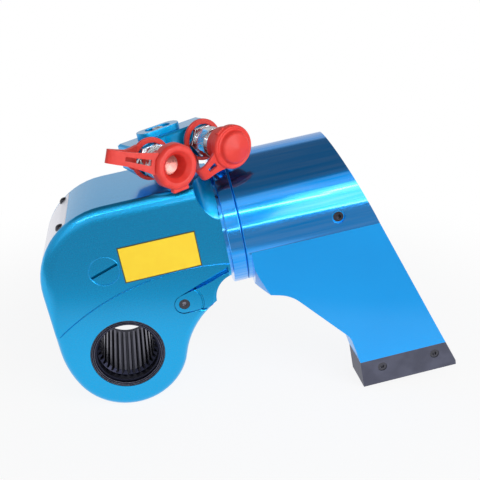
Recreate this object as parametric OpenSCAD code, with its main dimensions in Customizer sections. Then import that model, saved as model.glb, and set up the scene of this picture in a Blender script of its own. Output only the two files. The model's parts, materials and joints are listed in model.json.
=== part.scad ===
// Square-drive hydraulic torque wrench, standing on its round nose and its reaction foot.
// Each piece is drawn in tool axes: X along the cylinder to the rear, Y away from the drive
// face, Z up, with the origin on the drive axis at mid-width. stand() then tips it on its feet.

/* [Head] */
// Radius of the round nose about the drive axis
nose_r = 48; // [46:0.5:52]
// Width of the head across its two side faces
head_w = 91; // [88:1:100]
// Rounding of the edges of the side faces
edge_r = 7; // [4:0.5:8]
// Distance from the drive axis to the flat front of the head
front_reach = 51; // [49:0.5:54]
// Radius that blends the front into the nose
front_arc_r = 80; // [70:1:110]
// Height of the head's top above the cylinder axis
crown_rise = 46.5; // [44:0.5:52]
// Radius of the crown between front and top
crown_r = 60; // [50:1:64]
// Distance behind the drive axis of the throat's centre
throat_x = 108.5; // [104:0.5:114]
// Depth of the throat's centre below the drive axis
throat_drop = 33.5; // [28:0.5:38]
// Distance from the drive axis to the head's rear face
head_rear = 93.5; // [90:0.5:98]
// Step from the turned neck in to the barrel
neck_step = 2.5; // [1:0.5:4]
// Radius of the cove turned into the neck
cove_r = 15; // [10:1:20]
// Radius of the round recess between the throat and the rear face
recess_r = 19; // [16:0.5:20]
// Height of the recess's centre above the drive axis
recess_z = 25; // [22:0.5:26]
// Height by which the lower pad of the drive face stands proud
pad_step = 1.2; // [0.6:0.1:2]
// Radius of the pad's curved upper edge
pad_arc_r = 188; // [150:1:240]
// Height of the pad's upper edge at its highest point
pad_top = 59; // [52:0.5:64]
// Distance behind the drive axis of that point
pad_x = 57.5; // [45:0.5:70]

/* [Cylinder] */
// Height of the cylinder axis above the drive axis
axis_h = 76; // [74:0.5:79]
// Radius of the cylinder bore
bore_r = 25.5; // [23:0.5:26.5]
// Radius of the piston rod
rod_r = 13; // [11:0.5:14]
// Length of the piston
piston_len = 40; // [34:1:46]
// Swing of the drive plates to each side of upright, in degrees
half_swing = 12; // [8:0.5:13]
// Step from the head's sides in to the splined barrel
barrel_inset = 0.5; // [0:0.1:2]
// Depth of the barrel's spline grooves
spline_depth = 2.5; // [1.5:0.1:3]
// Number of barrel splines
spline_count = 24; // [16:1:30]
// Distance from the drive axis to the barrel's rear end
barrel_rear = 186; // [180:1:196]
// Radius of the rod pin
rod_pin_r = 9; // [7:0.5:10]

/* [Drive] */
// Radius over the ratchet teeth
ratchet_r = 34; // [32:0.5:36]
// Height of a ratchet tooth
tooth_h = 2.4; // [1.6:0.1:3]
// Number of ratchet teeth
ratchet_teeth = 30; // [24:1:36]
// Half width of the toothed ring
ratchet_half = 20; // [18:0.5:22]
// Radius of the ratchet's journals
journal_r = 26; // [25.6:0.2:27]
// Outer radius of the drive bushings
bushing_r = 29.4; // [28.5:0.1:31]
// Outer radius of the drive spline
drive_spline_r = 23.8; // [22:0.1:24.2]
// Depth of the drive spline's teeth
drive_spline_h = 2.3; // [1.5:0.1:3]
// Number of drive spline teeth
drive_spline_count = 32; // [24:1:40]
// Thickness of each drive plate
plate_t = 8; // [6:0.5:8.5]

/* [Pawl and lever] */
// Distance of the lever's pivot behind the drive axis
pivot_x = 52.4; // [50:0.2:56]
// Height of the lever's pivot above the drive axis
pivot_z = 30.9; // [29:0.2:33]
// Radius of the pawl shaft
shaft_r = 5; // [4:0.25:6]
// Radius of the lever's round end
lever_r = 7.6; // [7:0.1:8.4]
// Thickness of the lever
lever_t = 5; // [4:0.5:7]

/* [Reaction arm] */
// Wall of the arm's sleeve and of the stop collar outside the barrel
sleeve_wall = 7; // [5:0.5:10]
// Length of the stop collar
collar_len = 11.5; // [8:0.5:14]
// Distance of the rear plane behind the drive axis, at drive axis height
rear_plane_x = 236.5; // [228:0.5:246]
// Lean of the rear plane from upright, in degrees
rear_lean = 19.9; // [16:0.1:22]
// Distance of the foot's heel behind the drive axis
heel_x = 183.5; // [176:0.5:190]
// Depth of the sole below the drive axis
sole_drop = 83.3; // [78:0.1:90]
// Height of the reaction shoe
shoe_h = 23.8; // [18:0.1:28]
// Step from the head's side out to the foot's drive side
foot_step = 1.1; // [0:0.1:3]
// Width of the foot and of the shoe
foot_w = 34; // [28:0.5:40]
// Distance of the lock screw behind the drive axis
lock_x = 182; // [174:0.5:184]

/* [Swivel and couplings] */
// Distance of the swivel post behind the drive axis
post_x = 63; // [58:0.5:68]
// Height of the swivel block's underside above the head's top
post_gap = 5.5; // [5:0.5:8]
// Length of the swivel block
block_len = 73; // [70:1:78]
// Distance of the swivel block's middle from its post
block_shift = 5; // [3:0.5:6]
// Depth of the swivel block
block_d = 20; // [19:0.5:24]
// Height of the swivel block
block_h = 29; // [28:0.5:32]
// Turn of the swivel block away from square, in degrees
block_yaw = 27; // [15:1:32]
// Distance between the two couplings
coupling_pitch = 47.5; // [46:0.5:50]
// Radius of the swivel post
post_r = 6; // [5:0.5:6.5]
// Radius of the dust plug's rim
plug_r = 17; // [15.5:0.5:17.5]
// Radius of the dust cap's rim
cap_r = 16.5; // [15.5:0.5:17]
// Thickness of the moulded straps
strap_t = 3; // [2:0.2:4]
// Width of the moulded straps
strap_w = 10; // [8:0.5:11]

/* [Fits] */
// Radial clearance of a running fit
run_gap = 0.05; // [0.02:0.01:0.09]
// Clearance between faces that move past each other
slip_gap = 0.4; // [0.3:0.05:0.6]
// Clearance between pieces that are fastened together
seat_gap = 0.02; // [0.01:0.01:0.05]

/* [Hidden] */
$fn = 64;

// Colours of the finishes
teal = [0.09, 0.52, 0.72];
blue = [0.12, 0.45, 0.85];
red = [0.92, 0.28, 0.24];
steel = [0.72, 0.74, 0.77];
silver = [0.86, 0.88, 0.9];
black = [0.1, 0.1, 0.11];
grey = [0.32, 0.32, 0.36];
bronze = [0.68, 0.5, 0.25];
seal_black = [0.06, 0.06, 0.06];

// Stance: the floor touches the nose and the heel of the sole
stand_tilt = -asin(nose_r / norm([heel_x, sole_drop])) - atan2(-sole_drop, heel_x);

// A length past every piece, and a small overrun of cutting bodies
far = 400;
over = 1;

// Small screws: radius of the shank and of its hole
screw_r = 2.5;
screw_hole_r = screw_r + seat_gap;

// Head
head_half = head_w / 2;
blank_half = head_half + 0.02;
head_top = axis_h + crown_rise;
barrel_r = head_half - barrel_inset;
neck_r = barrel_r + neck_step;
sleeve_r = barrel_r + sleeve_wall;
foot_near = head_half + foot_step;
throat = [throat_x, -throat_drop];
throat_r = norm(throat) - nose_r;
throat_dir = atan2(-throat_drop, throat_x);
recess = [head_rear + 3.5, recess_z];
front_arc_x = front_arc_r - front_reach;
front_arc_z = sqrt(pow(front_arc_r - nose_r, 2) - pow(front_arc_x, 2));
front_arc_end = 180 + atan2(front_arc_z, front_arc_x);
crown_x = crown_r - front_reach;
crown_z = head_top - crown_r;
blank_rear = head_rear + 2;
arc_step = 6;
throat_steps = 9;
edge_steps = 5;

// Drive train, from the middle outwards
plate_in = ratchet_half + slip_gap;
plate_out = plate_in + plate_t;
clip_t = 1;
clip_in = plate_out + 0.1;
clip_out = clip_in + clip_t;
cavity_half = clip_out + 1;
cavity_r = ratchet_r + 4;
plate_r = cavity_r - 2;
eye_r = rod_pin_r + 5;
swing_room = 3;
crank_r = 2 * axis_h / (1 + cos(half_swing));
crank_drop = crank_r * (1 - cos(half_swing)) / 2;
pin_rest_x = crank_r * sin(half_swing);
swing_reach = pin_rest_x + eye_r + swing_room;
cavity_top = axis_h + crank_drop + eye_r + swing_room;
hub_half = head_half - 2.5;
spline_half = hub_half - 7.5;
spline_root_r = drive_spline_r - drive_spline_h;
pilot_r = drive_spline_r + 0.6;
lead_in = 2.5;
bushing_face = head_half - 0.3;

// Drive pawl, its bridge and its springs, drawn upright
pawl_half_w = 13;
pawl_share = 0.588;
bridge_r = 4;
bridge_room = 4;
bridge_z = axis_h - rod_r - bridge_room - bridge_r;
pawl_top = ratchet_r + pawl_share * (bridge_z - bridge_r - ratchet_r);
bridge_w = 12;
spring_y = 9;
spring_r = 2.8;
spring_wire = 1;
spring_cup_r = 4;
spring_cup = 3;

// Reaction pawl, shaft and lever
pawl_hub_r = shaft_r + 5;
pawl_tip_r = 6;
pawl_hub_room = 1.5;
pawl_tip_room = 4;
pawl_dir = 14;
pawl_tip = (ratchet_r + 7) * [cos(pawl_dir), sin(pawl_dir)];
pivot = [pivot_x, pivot_z];
shaft_end = ratchet_half + 13;
lever_lift = 4;
lever_slope = 15;
pocket_slope = lever_slope + lever_lift + 1.4;
pocket_end = head_rear - 2;
pocket_floor = head_half - lever_t - 1;
lever_face = head_half - 0.4;
lever_step_r = 14;
lever_arc_r = 114;
lever_arc_dir = 95.3;
lever_arc_gap = 0.9;
lever_arc = pivot + (lever_arc_r + lever_r + lever_arc_gap) * [cos(lever_arc_dir), sin(lever_arc_dir)];
lever_screw_r = 4.2;

// Front shroud and access plug
plug_x = -0.9;
plug_z = axis_h - 3;
access_r = 11.3;
plug_face = head_half - pad_step - 0.2;
window_z = 8;
shroud_half = head_half - edge_r - 1.5;
shroud_t = 2.5;
shroud_top_dir = 119;
shroud_low_z = -4;
shroud_screw_dir = shroud_top_dir + 6.7;
shroud_screw_y = shroud_half - 5;
shroud_screw_len = 12;
button_r = 3.7;
button_h = 2.2;

// Cylinder
spigot_r = bore_r + 3.5;
spigot_x = pin_rest_x + eye_r + 27;
bulkhead = 12;
chamber_x = spigot_x + bulkhead;
cap_thread_r = bore_r + 3;
cap_len = 20;
cap_inset = 6;
chamber_end = barrel_rear - cap_inset - cap_len;
seal_w = 5;
rod_seal_x = spigot_x + 3;
rod_seal_r = rod_r + 4;
cap_seal_x = chamber_end + 5;
cap_seal_r = cap_thread_r - 3;

// Piston, at the rear end of its stroke
piston_x = chamber_end - 2 - piston_len;
rod_seat = 16;
rod_tail_r = rod_r - 3;
piston_seal_x = piston_x + (piston_len - seal_w) / 2;
piston_seal_r = bore_r - 4;
wear_ring_r = bore_r - 2;
wear_ring_places = [piston_x + 5, piston_x + piston_len - 5 - seal_w];

// Collar and arm
collar_x = head_rear + 2;
collar_end = collar_x + collar_len;
arm_x = collar_end + 0.3;
rim_chamfer = 0.7;
spline_w = 2 * PI * barrel_r / spline_count * 0.48;
arm_fit = slip_gap * 0.75;
lean = tan(rear_lean);
shoe_top = sole_drop - shoe_h;
hip_x = arm_x + 4;
hip_z = 25.5;
knee = [arm_x + 28.3, 18.3, 30];
shin_end = [heel_x - 5, -33.5, 16];
flare_r = sleeve_r - 9;
flare_rate = 1.75;
flare_len = 160;
foot_far = foot_w - foot_near;
foot_band = 17;
flat_turn = 15;
far_turn = 36;
toe_h = 4;
tongue_inset = 7;
tongue_h = 13;
lock_r = 4;
shoe_screw_inset = 18;
shoe_screw_step = 46;
shoe_screw_places = [for (k = [0, 1]) heel_x + shoe_screw_inset + k * shoe_screw_step];
shoe_screw_z = -shoe_top - 8.5;
shoe_screw_head = 3.9;
shoe_screw_len = 18;

// Swivel
block_z = max(head_top + post_gap, axis_h + sleeve_r);
block_top = block_z + block_h;
block_face = block_d / 2;
block_cut = 10;
block_bevel = 1.5;
post_base_r = post_r + 6;
post_seat = 14;
post_seal_h = 2.4;
post_seal_r = post_r - 1.5;
post_seal_places = [block_z + 4, block_z + block_h / 2 - post_seal_h / 2, block_top - 12];
boss_h = 5;
boss_r = 7;
boss_half = 11;
boss_wall = 2.5;
retainer_z = block_top + seat_gap;
thread_r = 8.5;
thread_len = 10;

// Couplings and dust covers, measured outwards from the block's face
hex_r = 12.5;
hex_h = 8;
port_r = 4;
coupler_len = 34;
coupler_r = 13;
socket_r = 9.4;
socket_depth = 14;
nipple_len = 43;
nipple_r = 10.2;
plug_z0 = coupler_len + slip_gap;
plug_rim = 10;
plug_nose = 12;
plug_hollow_r = 8;
cap_end = nipple_len + 5;
cap_skirt_r = cap_r - 2.5;
cap_flange = 7;
cap_face_r = cap_r - 3.5;
strap_ring_z = 3;
strap_ring_r = hex_r + slip_gap;
strap_ring_w = 2.7;
fold_bulge = 0.3;
plug_strap_dir = 155;
plug_fold_out = 34;
plug_fold_back = 8;
cap_strap_dir = 207;
cap_fold_out = 16.5;
cap_fold_back = 2;

// Height of the couplings' axes, with the strap rings clear of the collar below
coupling_z = max(
    block_z + block_h / 2 + 1,
    axis_h + sleeve_r + strap_ring_r + strap_ring_w + slip_gap
);

// Outlines

// Points on an arc in n steps, with the end points, or without the first ones where start is given
function arc(c, r, a0, a1, n, start = 0) = [
    for (i = [start:n]) c + r * [cos(a0 + (a1 - a0) * i / n), sin(a0 + (a1 - a0) * i / n)]
];

// Steps of about arc_step degrees in a turn
function steps(turn) = ceil(abs(turn) / arc_step);

// A polygon whose corners [x, y, r] are rounded with radius r
function rounded(corners) = [
    for (i = [0:len(corners) - 1])
        let (
            n = len(corners),
            p = [corners[i][0], corners[i][1]],
            a = [corners[(i + n - 1) % n][0], corners[(i + n - 1) % n][1]] - p,
            b = [corners[(i + 1) % n][0], corners[(i + 1) % n][1]] - p,
            ua = a / norm(a),
            ub = b / norm(b),
            half = acos(ua * ub) / 2,
            r = corners[i][2],
            c = p + (ua + ub) / norm(ua + ub) * r / sin(half),
            ta = p + ua * r / tan(half) - c,
            tb = p + ub * r / tan(half) - c,
            t0 = atan2(ta[1], ta[0]),
            turn = (atan2(tb[1], tb[0]) - t0 + 540) % 360 - 180
        )
        each r > 0 ? arc(c, r, t0, t0 + turn, max(1, steps(turn))) : [p]
];

// The left-hand meeting point of two circles
function meeting(c0, r0, c1, r1) =
    let (
        d = norm(c1 - c0),
        along_line = (d * d + r0 * r0 - r1 * r1) / (2 * d),
        off_line = sqrt(r0 * r0 - along_line * along_line),
        e = (c1 - c0) / d
    )
    c0 + along_line * e + off_line * [-e[1], e[0]];

// Direction of a point seen from a centre, from 0 to 360 degrees
function bearing(c, p) = (atan2(p[1] - c[1], p[0] - c[0]) + 360) % 360;

// Outline of the head's side, moved inwards by d
function head_outline(d, rear = blank_rear) =
    let (corner = meeting(throat, throat_r + d, recess, recess_r + d))
    concat(
        [[rear, head_top - d]],
        arc([crown_x, crown_z], crown_r - d, 90, 180, steps(90)),
        arc([front_arc_x, front_arc_z], front_arc_r - d, 180, front_arc_end, steps(front_arc_end - 180)),
        arc([0, 0], nose_r - d, front_arc_end + arc_step, 360 + throat_dir - arc_step,
            steps(360 + throat_dir - front_arc_end - 2 * arc_step)),
        arc(throat, throat_r + d, 180 + throat_dir, bearing(throat, corner), throat_steps),
        arc(recess, recess_r + d, bearing(recess, corner), acos((rear - recess[0]) / (recess_r + d)),
            throat_steps, 1)
    );

// Placing

module stand() {
    rotate([0, -stand_tilt, 0]) children();
}

// Extrudes a drawing in X and Z between two Y planes
module across(y0, y1) {
    translate([0, y1, 0]) rotate([90, 0, 0]) linear_extrude(y1 - y0) children();
}

// Extrudes a drawing in Y and Z between two X planes
module along(x0, x1) {
    translate([x0, 0, 0]) rotate([90, 0, 90]) linear_extrude(x1 - x0) children();
}

// A round bar across the tool
module cross_bar(x, z, y0, y1, r) {
    translate([x, y0, z]) rotate([-90, 0, 0]) cylinder(h = y1 - y0, r = r);
}

// A ring across the tool
module cross_ring(x, z, y0, y1, r_in, r_out) {
    difference() {
        cross_bar(x, z, y0, y1, r_out);
        cross_bar(x, z, y0 - over, y1 + over, r_in);
    }
}

// A round bar on the cylinder axis, tapered where r2 differs
module axis_bar(x0, x1, r, r2 = -1) {
    translate([x0, 0, axis_h]) rotate([0, 90, 0]) cylinder(h = x1 - x0, r1 = r, r2 = r2 < 0 ? r : r2);
}

// A turned ring on the cylinder axis
module axis_ring(x0, x1, r_in, r_out) {
    difference() {
        axis_bar(x0, x1, r_out);
        axis_bar(x0 - over, x1 + over, r_in);
    }
}

// Makes a piece on both sides of the middle
module both_sides() {
    children();
    mirror([0, 1, 0]) children();
}

// Places a drawing made with the drive plates upright at their rest angle
module at_rest_swing() {
    rotate([0, half_swing, 0]) children();
}

// Places a piece made with the couplings pointing along -Y on the turned swivel
module on_swivel() {
    translate([post_x, 0, 0]) rotate([0, 0, block_yaw]) children();
}

// Distance of a coupling from the post along the block
function coupling_place(side) = block_shift + side * coupling_pitch / 2;

// Places a piece drawn on Z, from the block's face outwards, on a coupling's axis
module on_coupling(side) {
    on_swivel() translate([coupling_place(side), -block_face, coupling_z]) rotate([90, 0, 0]) children();
}

// A shroud screw's place, with the underside of its head on the shroud
module on_shroud_screw(side) {
    turn = shroud_screw_dir;
    translate([crown_x + crown_r * cos(turn), side * shroud_screw_y, crown_z + crown_r * sin(turn)])
        rotate([0, 90 - turn, 0]) children();
}

// Shared forms

// A bar on Z between two heights
module post(z0, z1, r, r2 = -1) {
    translate([0, 0, z0]) cylinder(h = z1 - z0, r1 = r, r2 = r2 < 0 ? r : r2);
}

// A ring on Z between two heights
module ring(z0, z1, r_in, r_out) {
    difference() {
        post(z0, z1, r_out);
        post(z0 - over, z1 + over, r_in);
    }
}

// A flat bar with round ends
module oblong(half, r) {
    for (s = [-1, 1]) translate([s * half, 0]) circle(r = r);
    square([2 * half, 2 * r], center = true);
}

// A screw on Z with its head's face at z = 0, the shank below and a hexagon socket
module socket_screw(head_r, head_h, length, key_r) {
    difference() {
        union() {
            post(-head_h, 0, head_r);
            post(-length, 0, screw_r);
        }
        translate([0, 0, -head_h * 0.6]) cylinder(h = head_h, r = key_r, $fn = 6);
    }
}

// A screw on Z with a domed head that stands on z = 0
module button_screw(length) {
    dome_r = (button_r * button_r + button_h * button_h) / (2 * button_h);
    difference() {
        union() {
            rotate_extrude() intersection() {
                translate([0, button_h - dome_r]) circle(r = dome_r);
                square([button_r, button_h]);
            }
            post(-length, 0.1, screw_r);
        }
        translate([0, 0, button_h * 0.4]) cylinder(h = button_h, r = screw_r * 0.6, $fn = 6);
    }
}

// Saw-tooth outline of the ratchet, with its faces moved outwards by g
module ratchet_outline(g = 0) {
    pitch = 360 / ratchet_teeth;
    lag = g / ratchet_r * 180 / PI;
    root = ratchet_r - tooth_h;
    polygon([
        for (i = [0:ratchet_teeth - 1], p = [
            [root + g, -lag], [ratchet_r + g, 0.05 * pitch - lag],
            [ratchet_r + g, 0.2 * pitch + lag], [root + g, 0.92 * pitch]
        ])
        let (a = i * pitch + p[1]) p[0] * [cos(a), sin(a)]
    ]);
}

// A coil spring on Z between two heights
module coil(r, wire, z0, z1, turns) {
    ring_steps = 12;
    sides = 6;
    rings = turns * ring_steps;
    rise = (z1 - z0 - wire) / rings;
    pts = [
        for (i = [0:rings], k = [0:sides - 1])
            let (a = i * 360 / ring_steps, b = k * 360 / sides, q = r + wire / 2 * cos(b))
            [q * cos(a), q * sin(a), z0 + wire / 2 + i * rise + wire / 2 * sin(b)]
    ];
    faces = concat(
        [[for (k = [sides - 1:-1:0]) k]],
        [[for (k = [0:sides - 1]) rings * sides + k]],
        [for (i = [0:rings - 1], k = [0:sides - 1])
            let (l = (k + 1) % sides)
            [i * sides + l, (i + 1) * sides + l, (i + 1) * sides + k, i * sides + k]]
    );
    polyhedron(pts, faces);
}

// Head pieces

// The head before machining, with its side edges rounded and a peak on each side that is faced off
module head_blank() {
    turns = [for (k = [0:edge_steps]) 90 * k / edge_steps];
    levels = concat(
        [for (a = turns) [-blank_half + edge_r * (1 - cos(a)), a]],
        [for (k = [edge_steps:-1:0]) [blank_half - edge_r * (1 - cos(turns[k])), turns[k]]]
    );
    n = len(head_outline(0));
    last = (len(levels) - 1) * n;
    near_peak = len(levels) * n;
    pts = concat(
        [for (l = levels, p = head_outline(edge_r * (1 - sin(l[1])))) [p[0], l[0], p[1]]],
        [for (s = [-1, 1]) [nose_r / 2, s * head_w, axis_h * 0.6]]
    );
    faces = concat(
        [for (i = [0:n - 1]) [(i + 1) % n, i, near_peak]],
        [for (i = [0:n - 1]) [last + i, last + (i + 1) % n, near_peak + 1]],
        [for (j = [0:len(levels) - 2], i = [0:n - 1])
            let (k = (i + 1) % n)
            [j * n + k, (j + 1) * n + k, (j + 1) * n + i, j * n + i]]
    );
    polyhedron(pts, faces);
}

// Everything outside the turned neck, above the cylinder axis
module neck_cut() {
    reach = cove_r + neck_r;
    intersection() {
        translate([0, 0, axis_h]) rotate([0, 90, 0]) rotate_extrude() difference() {
            translate([neck_r, head_rear - cove_r]) square([reach, cove_r + blank_rear - head_rear + over]);
            difference() {
                translate([neck_r, head_rear - cove_r]) square([cove_r, cove_r]);
                translate([neck_r + cove_r, head_rear]) circle(r = cove_r);
            }
        }
        translate([0, -far / 2, axis_h]) cube([far, far, far]);
    }
}

// Straight bar from the pawl's pivot to its tip
module pawl_bar(w) {
    reach = pawl_tip - pivot;
    translate(pivot) rotate(atan2(reach[1], reach[0])) translate([0, -w / 2]) square([norm(reach), w]);
}

// Side of the reaction pawl, or of the room it hangs and lifts in when grown by g
module pawl_side(g, tip_g) {
    translate(pivot) circle(r = pawl_hub_r + g);
    translate(pawl_tip) circle(r = pawl_tip_r + tip_g);
    pawl_bar(2 * (pawl_tip_r + tip_g));
}

// The lever's round end and everything behind it under a line at a slope
module lever_wedge(r, slope) {
    // The straight edges leave the round just inside it
    w = r - 0.05;
    translate(pivot) {
        circle(r = r);
        polygon([[0, -w], [far, -w], w * [-sin(slope), cos(slope)] + far * [cos(slope), sin(slope)],
            w * [-sin(slope), cos(slope)], [0, 0]]);
    }
}

// The pocket leaves room for the lever's lift
module lever_pocket() {
    intersection() {
        lever_wedge(lever_r + slip_gap, pocket_slope);
        translate([0, -far]) square([pocket_end, 2 * far]);
    }
}

// Sector of the front that the shroud covers, from its lower end to its upper end
module shroud_band(grow) {
    top = [cos(shroud_top_dir), sin(shroud_top_dir)];
    shift = grow * [-top[1], top[0]];
    polygon([
        [-far, shroud_low_z - grow], [0, shroud_low_z - grow],
        [crown_x, crown_z] - shift, [crown_x, crown_z] + far * top - shift, [-far, far]
    ]);
}

module housing() {
    color(teal) difference() {
        head_blank();
        // The sides, the rear face and the neck above it
        for (s = [-1, 1]) translate([0, s * (head_half + far / 2), 0]) cube(far, center = true);
        translate([head_rear, -far / 2, -far / 2]) cube(far);
        neck_cut();
        // Upper part of the drive face, set back behind the pad
        across(-head_half - over, -head_half + pad_step) difference() {
            translate([-far, -far / 4]) square([2 * far, far]);
            translate([pad_x, pad_top - pad_arc_r]) circle(r = pad_arc_r);
        }
        // Drive cavity, swing of the plates and path of the rod
        cross_bar(0, 0, -cavity_half, cavity_half, cavity_r);
        across(-cavity_half, cavity_half) {
            translate([-swing_reach, 0]) square([swing_reach * 2, cavity_top]);
            translate([0, axis_h - rod_r - swing_room])
                square([spigot_x + over, cavity_top - axis_h + rod_r + swing_room]);
        }
        across(-plate_in, plate_in) pawl_side(pawl_hub_room, pawl_tip_room);
        // Bores for the bushings, the barrel and the access plug
        cross_bar(0, 0, -head_w, head_w, bushing_r + seat_gap);
        axis_bar(spigot_x - seat_gap, far, spigot_r + seat_gap);
        cross_bar(plug_x, plug_z, -head_w, 0, access_r + seat_gap);
        // Window in the front and the seat of its shroud
        across(-cavity_half, cavity_half) translate([-front_reach - over, window_z])
            square([front_reach, cavity_top - window_z]);
        across(-shroud_half - slip_gap / 2, shroud_half + slip_gap / 2) difference() {
            shroud_band(slip_gap / 2);
            polygon(head_outline(shroud_t + seat_gap));
        }
        for (s = [-1, 1]) on_shroud_screw(s) post(-shroud_screw_len - over, 0, screw_hole_r);
        // Lever pocket, pawl shaft and swivel post
        across(-head_half - over, -pocket_floor) lever_pocket();
        cross_bar(pivot_x, pivot_z, -head_half - over, shaft_end + over, shaft_r + run_gap);
        translate([post_x, 0, 0])
            post(head_top - post_seat - seat_gap, head_top + over, post_base_r + seat_gap);
    }
}

module front_shroud() {
    color(silver) difference() {
        across(-shroud_half, shroud_half) difference() {
            intersection() {
                polygon(head_outline(0));
                shroud_band(0);
            }
            polygon(head_outline(shroud_t));
        }
        for (s = [-1, 1]) on_shroud_screw(s) post(-shroud_screw_len, over, screw_hole_r);
    }
}

module shroud_screws() {
    color(black) for (s = [-1, 1]) on_shroud_screw(s) button_screw(shroud_screw_len);
}

module access_plug() {
    slot = [2 * access_r + over, 4, 2];
    slot_turn = 18;
    color(teal) difference() {
        cross_bar(plug_x, plug_z, -plug_face, -cavity_half - over, access_r);
        translate([plug_x, -plug_face, plug_z]) rotate([0, -slot_turn, 0]) cube(slot, center = true);
    }
}

// The bushing on the far side, with two fine grooves in its face
module bushing() {
    groove = 0.6;
    wall = bushing_r - journal_r;
    color(black) difference() {
        cross_ring(0, 0, cavity_half, bushing_face, journal_r + run_gap, bushing_r);
        for (k = [0.35, 0.7])
            cross_ring(0, 0, bushing_face - groove, bushing_face + over,
                journal_r + wall * k - groove / 2, journal_r + wall * k + groove / 2);
    }
}

module bushing_near() {
    mirror([0, 1, 0]) bushing();
}

module bushing_far() {
    bushing();
}

// Cylinder pieces

// Straight-sided splines about the cylinder axis, drawn in Y and Z
module spline_bars(r0, r1, w) {
    translate([0, axis_h]) for (i = [0:spline_count - 1])
        rotate(i * 360 / spline_count) translate([r0, -w / 2]) square([r1 - r0, w]);
}

module cylinder_barrel() {
    color(blue) difference() {
        union() {
            axis_bar(spigot_x, head_rear + over, spigot_r);
            axis_bar(head_rear + seat_gap, barrel_rear, barrel_r);
        }
        along(arm_x - over, barrel_rear + over)
            spline_bars(barrel_r - spline_depth, barrel_r + over, spline_w);
        axis_bar(spigot_x - over, chamber_x + over, rod_r + run_gap);
        axis_bar(rod_seal_x, rod_seal_x + seal_w, rod_seal_r);
        axis_bar(chamber_x, chamber_end, bore_r);
        axis_bar(chamber_end, barrel_rear + over, cap_thread_r);
    }
}

module rod_seal() {
    color(seal_black) axis_ring(rod_seal_x + seat_gap, rod_seal_x + seal_w - seat_gap,
        rod_r + run_gap, rod_seal_r - seat_gap);
}

module end_cap() {
    x1 = chamber_end + cap_len;
    key_r = 3;
    key_depth = 7;
    key_place = bore_r * 2 / 3;
    color(steel) difference() {
        axis_bar(chamber_end + seat_gap, x1, cap_thread_r - seat_gap);
        axis_ring(cap_seal_x, cap_seal_x + seal_w, cap_seal_r, cap_thread_r + over);
        for (a = [0:90:270]) translate([x1 - key_depth, 0, axis_h]) rotate([a, 0, 0])
            translate([0, key_place, 0]) rotate([0, 90, 0]) cylinder(h = key_depth + over, r = key_r);
    }
}

module end_cap_seal() {
    color(seal_black) axis_ring(cap_seal_x + seat_gap, cap_seal_x + seal_w - seat_gap,
        cap_seal_r + seat_gap, cap_thread_r - seat_gap);
}

module stop_collar() {
    color(blue) difference() {
        union() {
            axis_bar(collar_x, collar_x + rim_chamfer, sleeve_r - rim_chamfer, sleeve_r);
            axis_bar(collar_x + rim_chamfer, collar_end - rim_chamfer, sleeve_r);
            axis_bar(collar_end - rim_chamfer, collar_end, sleeve_r, sleeve_r - rim_chamfer);
        }
        axis_bar(collar_x - over, collar_end + over, barrel_r + seat_gap);
    }
}

// Piston pieces

module piston() {
    color(steel) difference() {
        axis_bar(piston_x, piston_x + piston_len, bore_r - run_gap);
        axis_ring(piston_seal_x, piston_seal_x + seal_w, piston_seal_r, bore_r + over);
        for (x = wear_ring_places) axis_ring(x, x + seal_w, wear_ring_r, bore_r + over);
        axis_bar(piston_x - over, piston_x + rod_seat, rod_tail_r + seat_gap);
    }
}

module piston_seal() {
    color(seal_black) axis_ring(piston_seal_x + seat_gap, piston_seal_x + seal_w - seat_gap,
        piston_seal_r + seat_gap, bore_r - run_gap);
}

module wear_rings() {
    color(bronze) for (x = wear_ring_places)
        axis_ring(x + seat_gap, x + seal_w - seat_gap, wear_ring_r + seat_gap, bore_r - run_gap);
}

// The eye is slotted upright, because the pin rises and falls as the plates swing
module piston_rod() {
    eye_half = ratchet_half - 1;
    pin_room = rod_pin_r + 0.15;
    rise = crank_drop + 0.25;
    color(steel) difference() {
        union() {
            axis_bar(pin_rest_x, piston_x - seat_gap, rod_r);
            axis_bar(piston_x - rod_seat, piston_x + rod_seat - over, rod_tail_r);
            intersection() {
                cross_bar(pin_rest_x, axis_h, -eye_half, eye_half, eye_r - 0.5);
                translate([pin_rest_x - far / 2, -eye_half, axis_h - rod_r])
                    cube([far, 2 * eye_half, 2 * rod_r]);
            }
        }
        across(-far, far) translate([pin_rest_x, axis_h]) rotate(90) oblong(rise, pin_room);
    }
}

// Drive plate pieces, drawn upright

module plate_outline() {
    waist_z = 12;
    waist = plate_r - 4;
    neck = eye_r - 0.4;
    circle(r = plate_r);
    translate([0, crank_r]) circle(r = eye_r);
    polygon([[-waist, waist_z], [waist, waist_z], [neck, crank_r], [-neck, crank_r]]);
}

module drive_plate() {
    difference() {
        across(plate_in, plate_out) plate_outline();
        cross_bar(0, 0, 0, head_w, journal_r + run_gap);
        cross_bar(0, crank_r, 0, head_w, rod_pin_r + seat_gap);
        cross_bar(0, bridge_z, 0, head_w, bridge_r + seat_gap);
    }
}

module drive_plate_near() {
    color(grey) at_rest_swing() mirror([0, 1, 0]) drive_plate();
}

module drive_plate_far() {
    color(grey) at_rest_swing() drive_plate();
}

module rod_pin() {
    end = clip_out + 0.4;
    color(steel) at_rest_swing() difference() {
        cross_bar(0, crank_r, -end, end, rod_pin_r);
        both_sides() cross_ring(0, crank_r, clip_in - seat_gap, clip_out + seat_gap,
            rod_pin_r - clip_t - seat_gap, rod_pin_r + over);
    }
}

module pin_clips() {
    mouth = 3;
    color(black) at_rest_swing() both_sides() difference() {
        cross_ring(0, crank_r, clip_in, clip_out, rod_pin_r - clip_t, rod_pin_r + 2 * clip_t);
        translate([-mouth / 2, 0, crank_r]) cube([mouth, head_w, eye_r]);
    }
}

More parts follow.
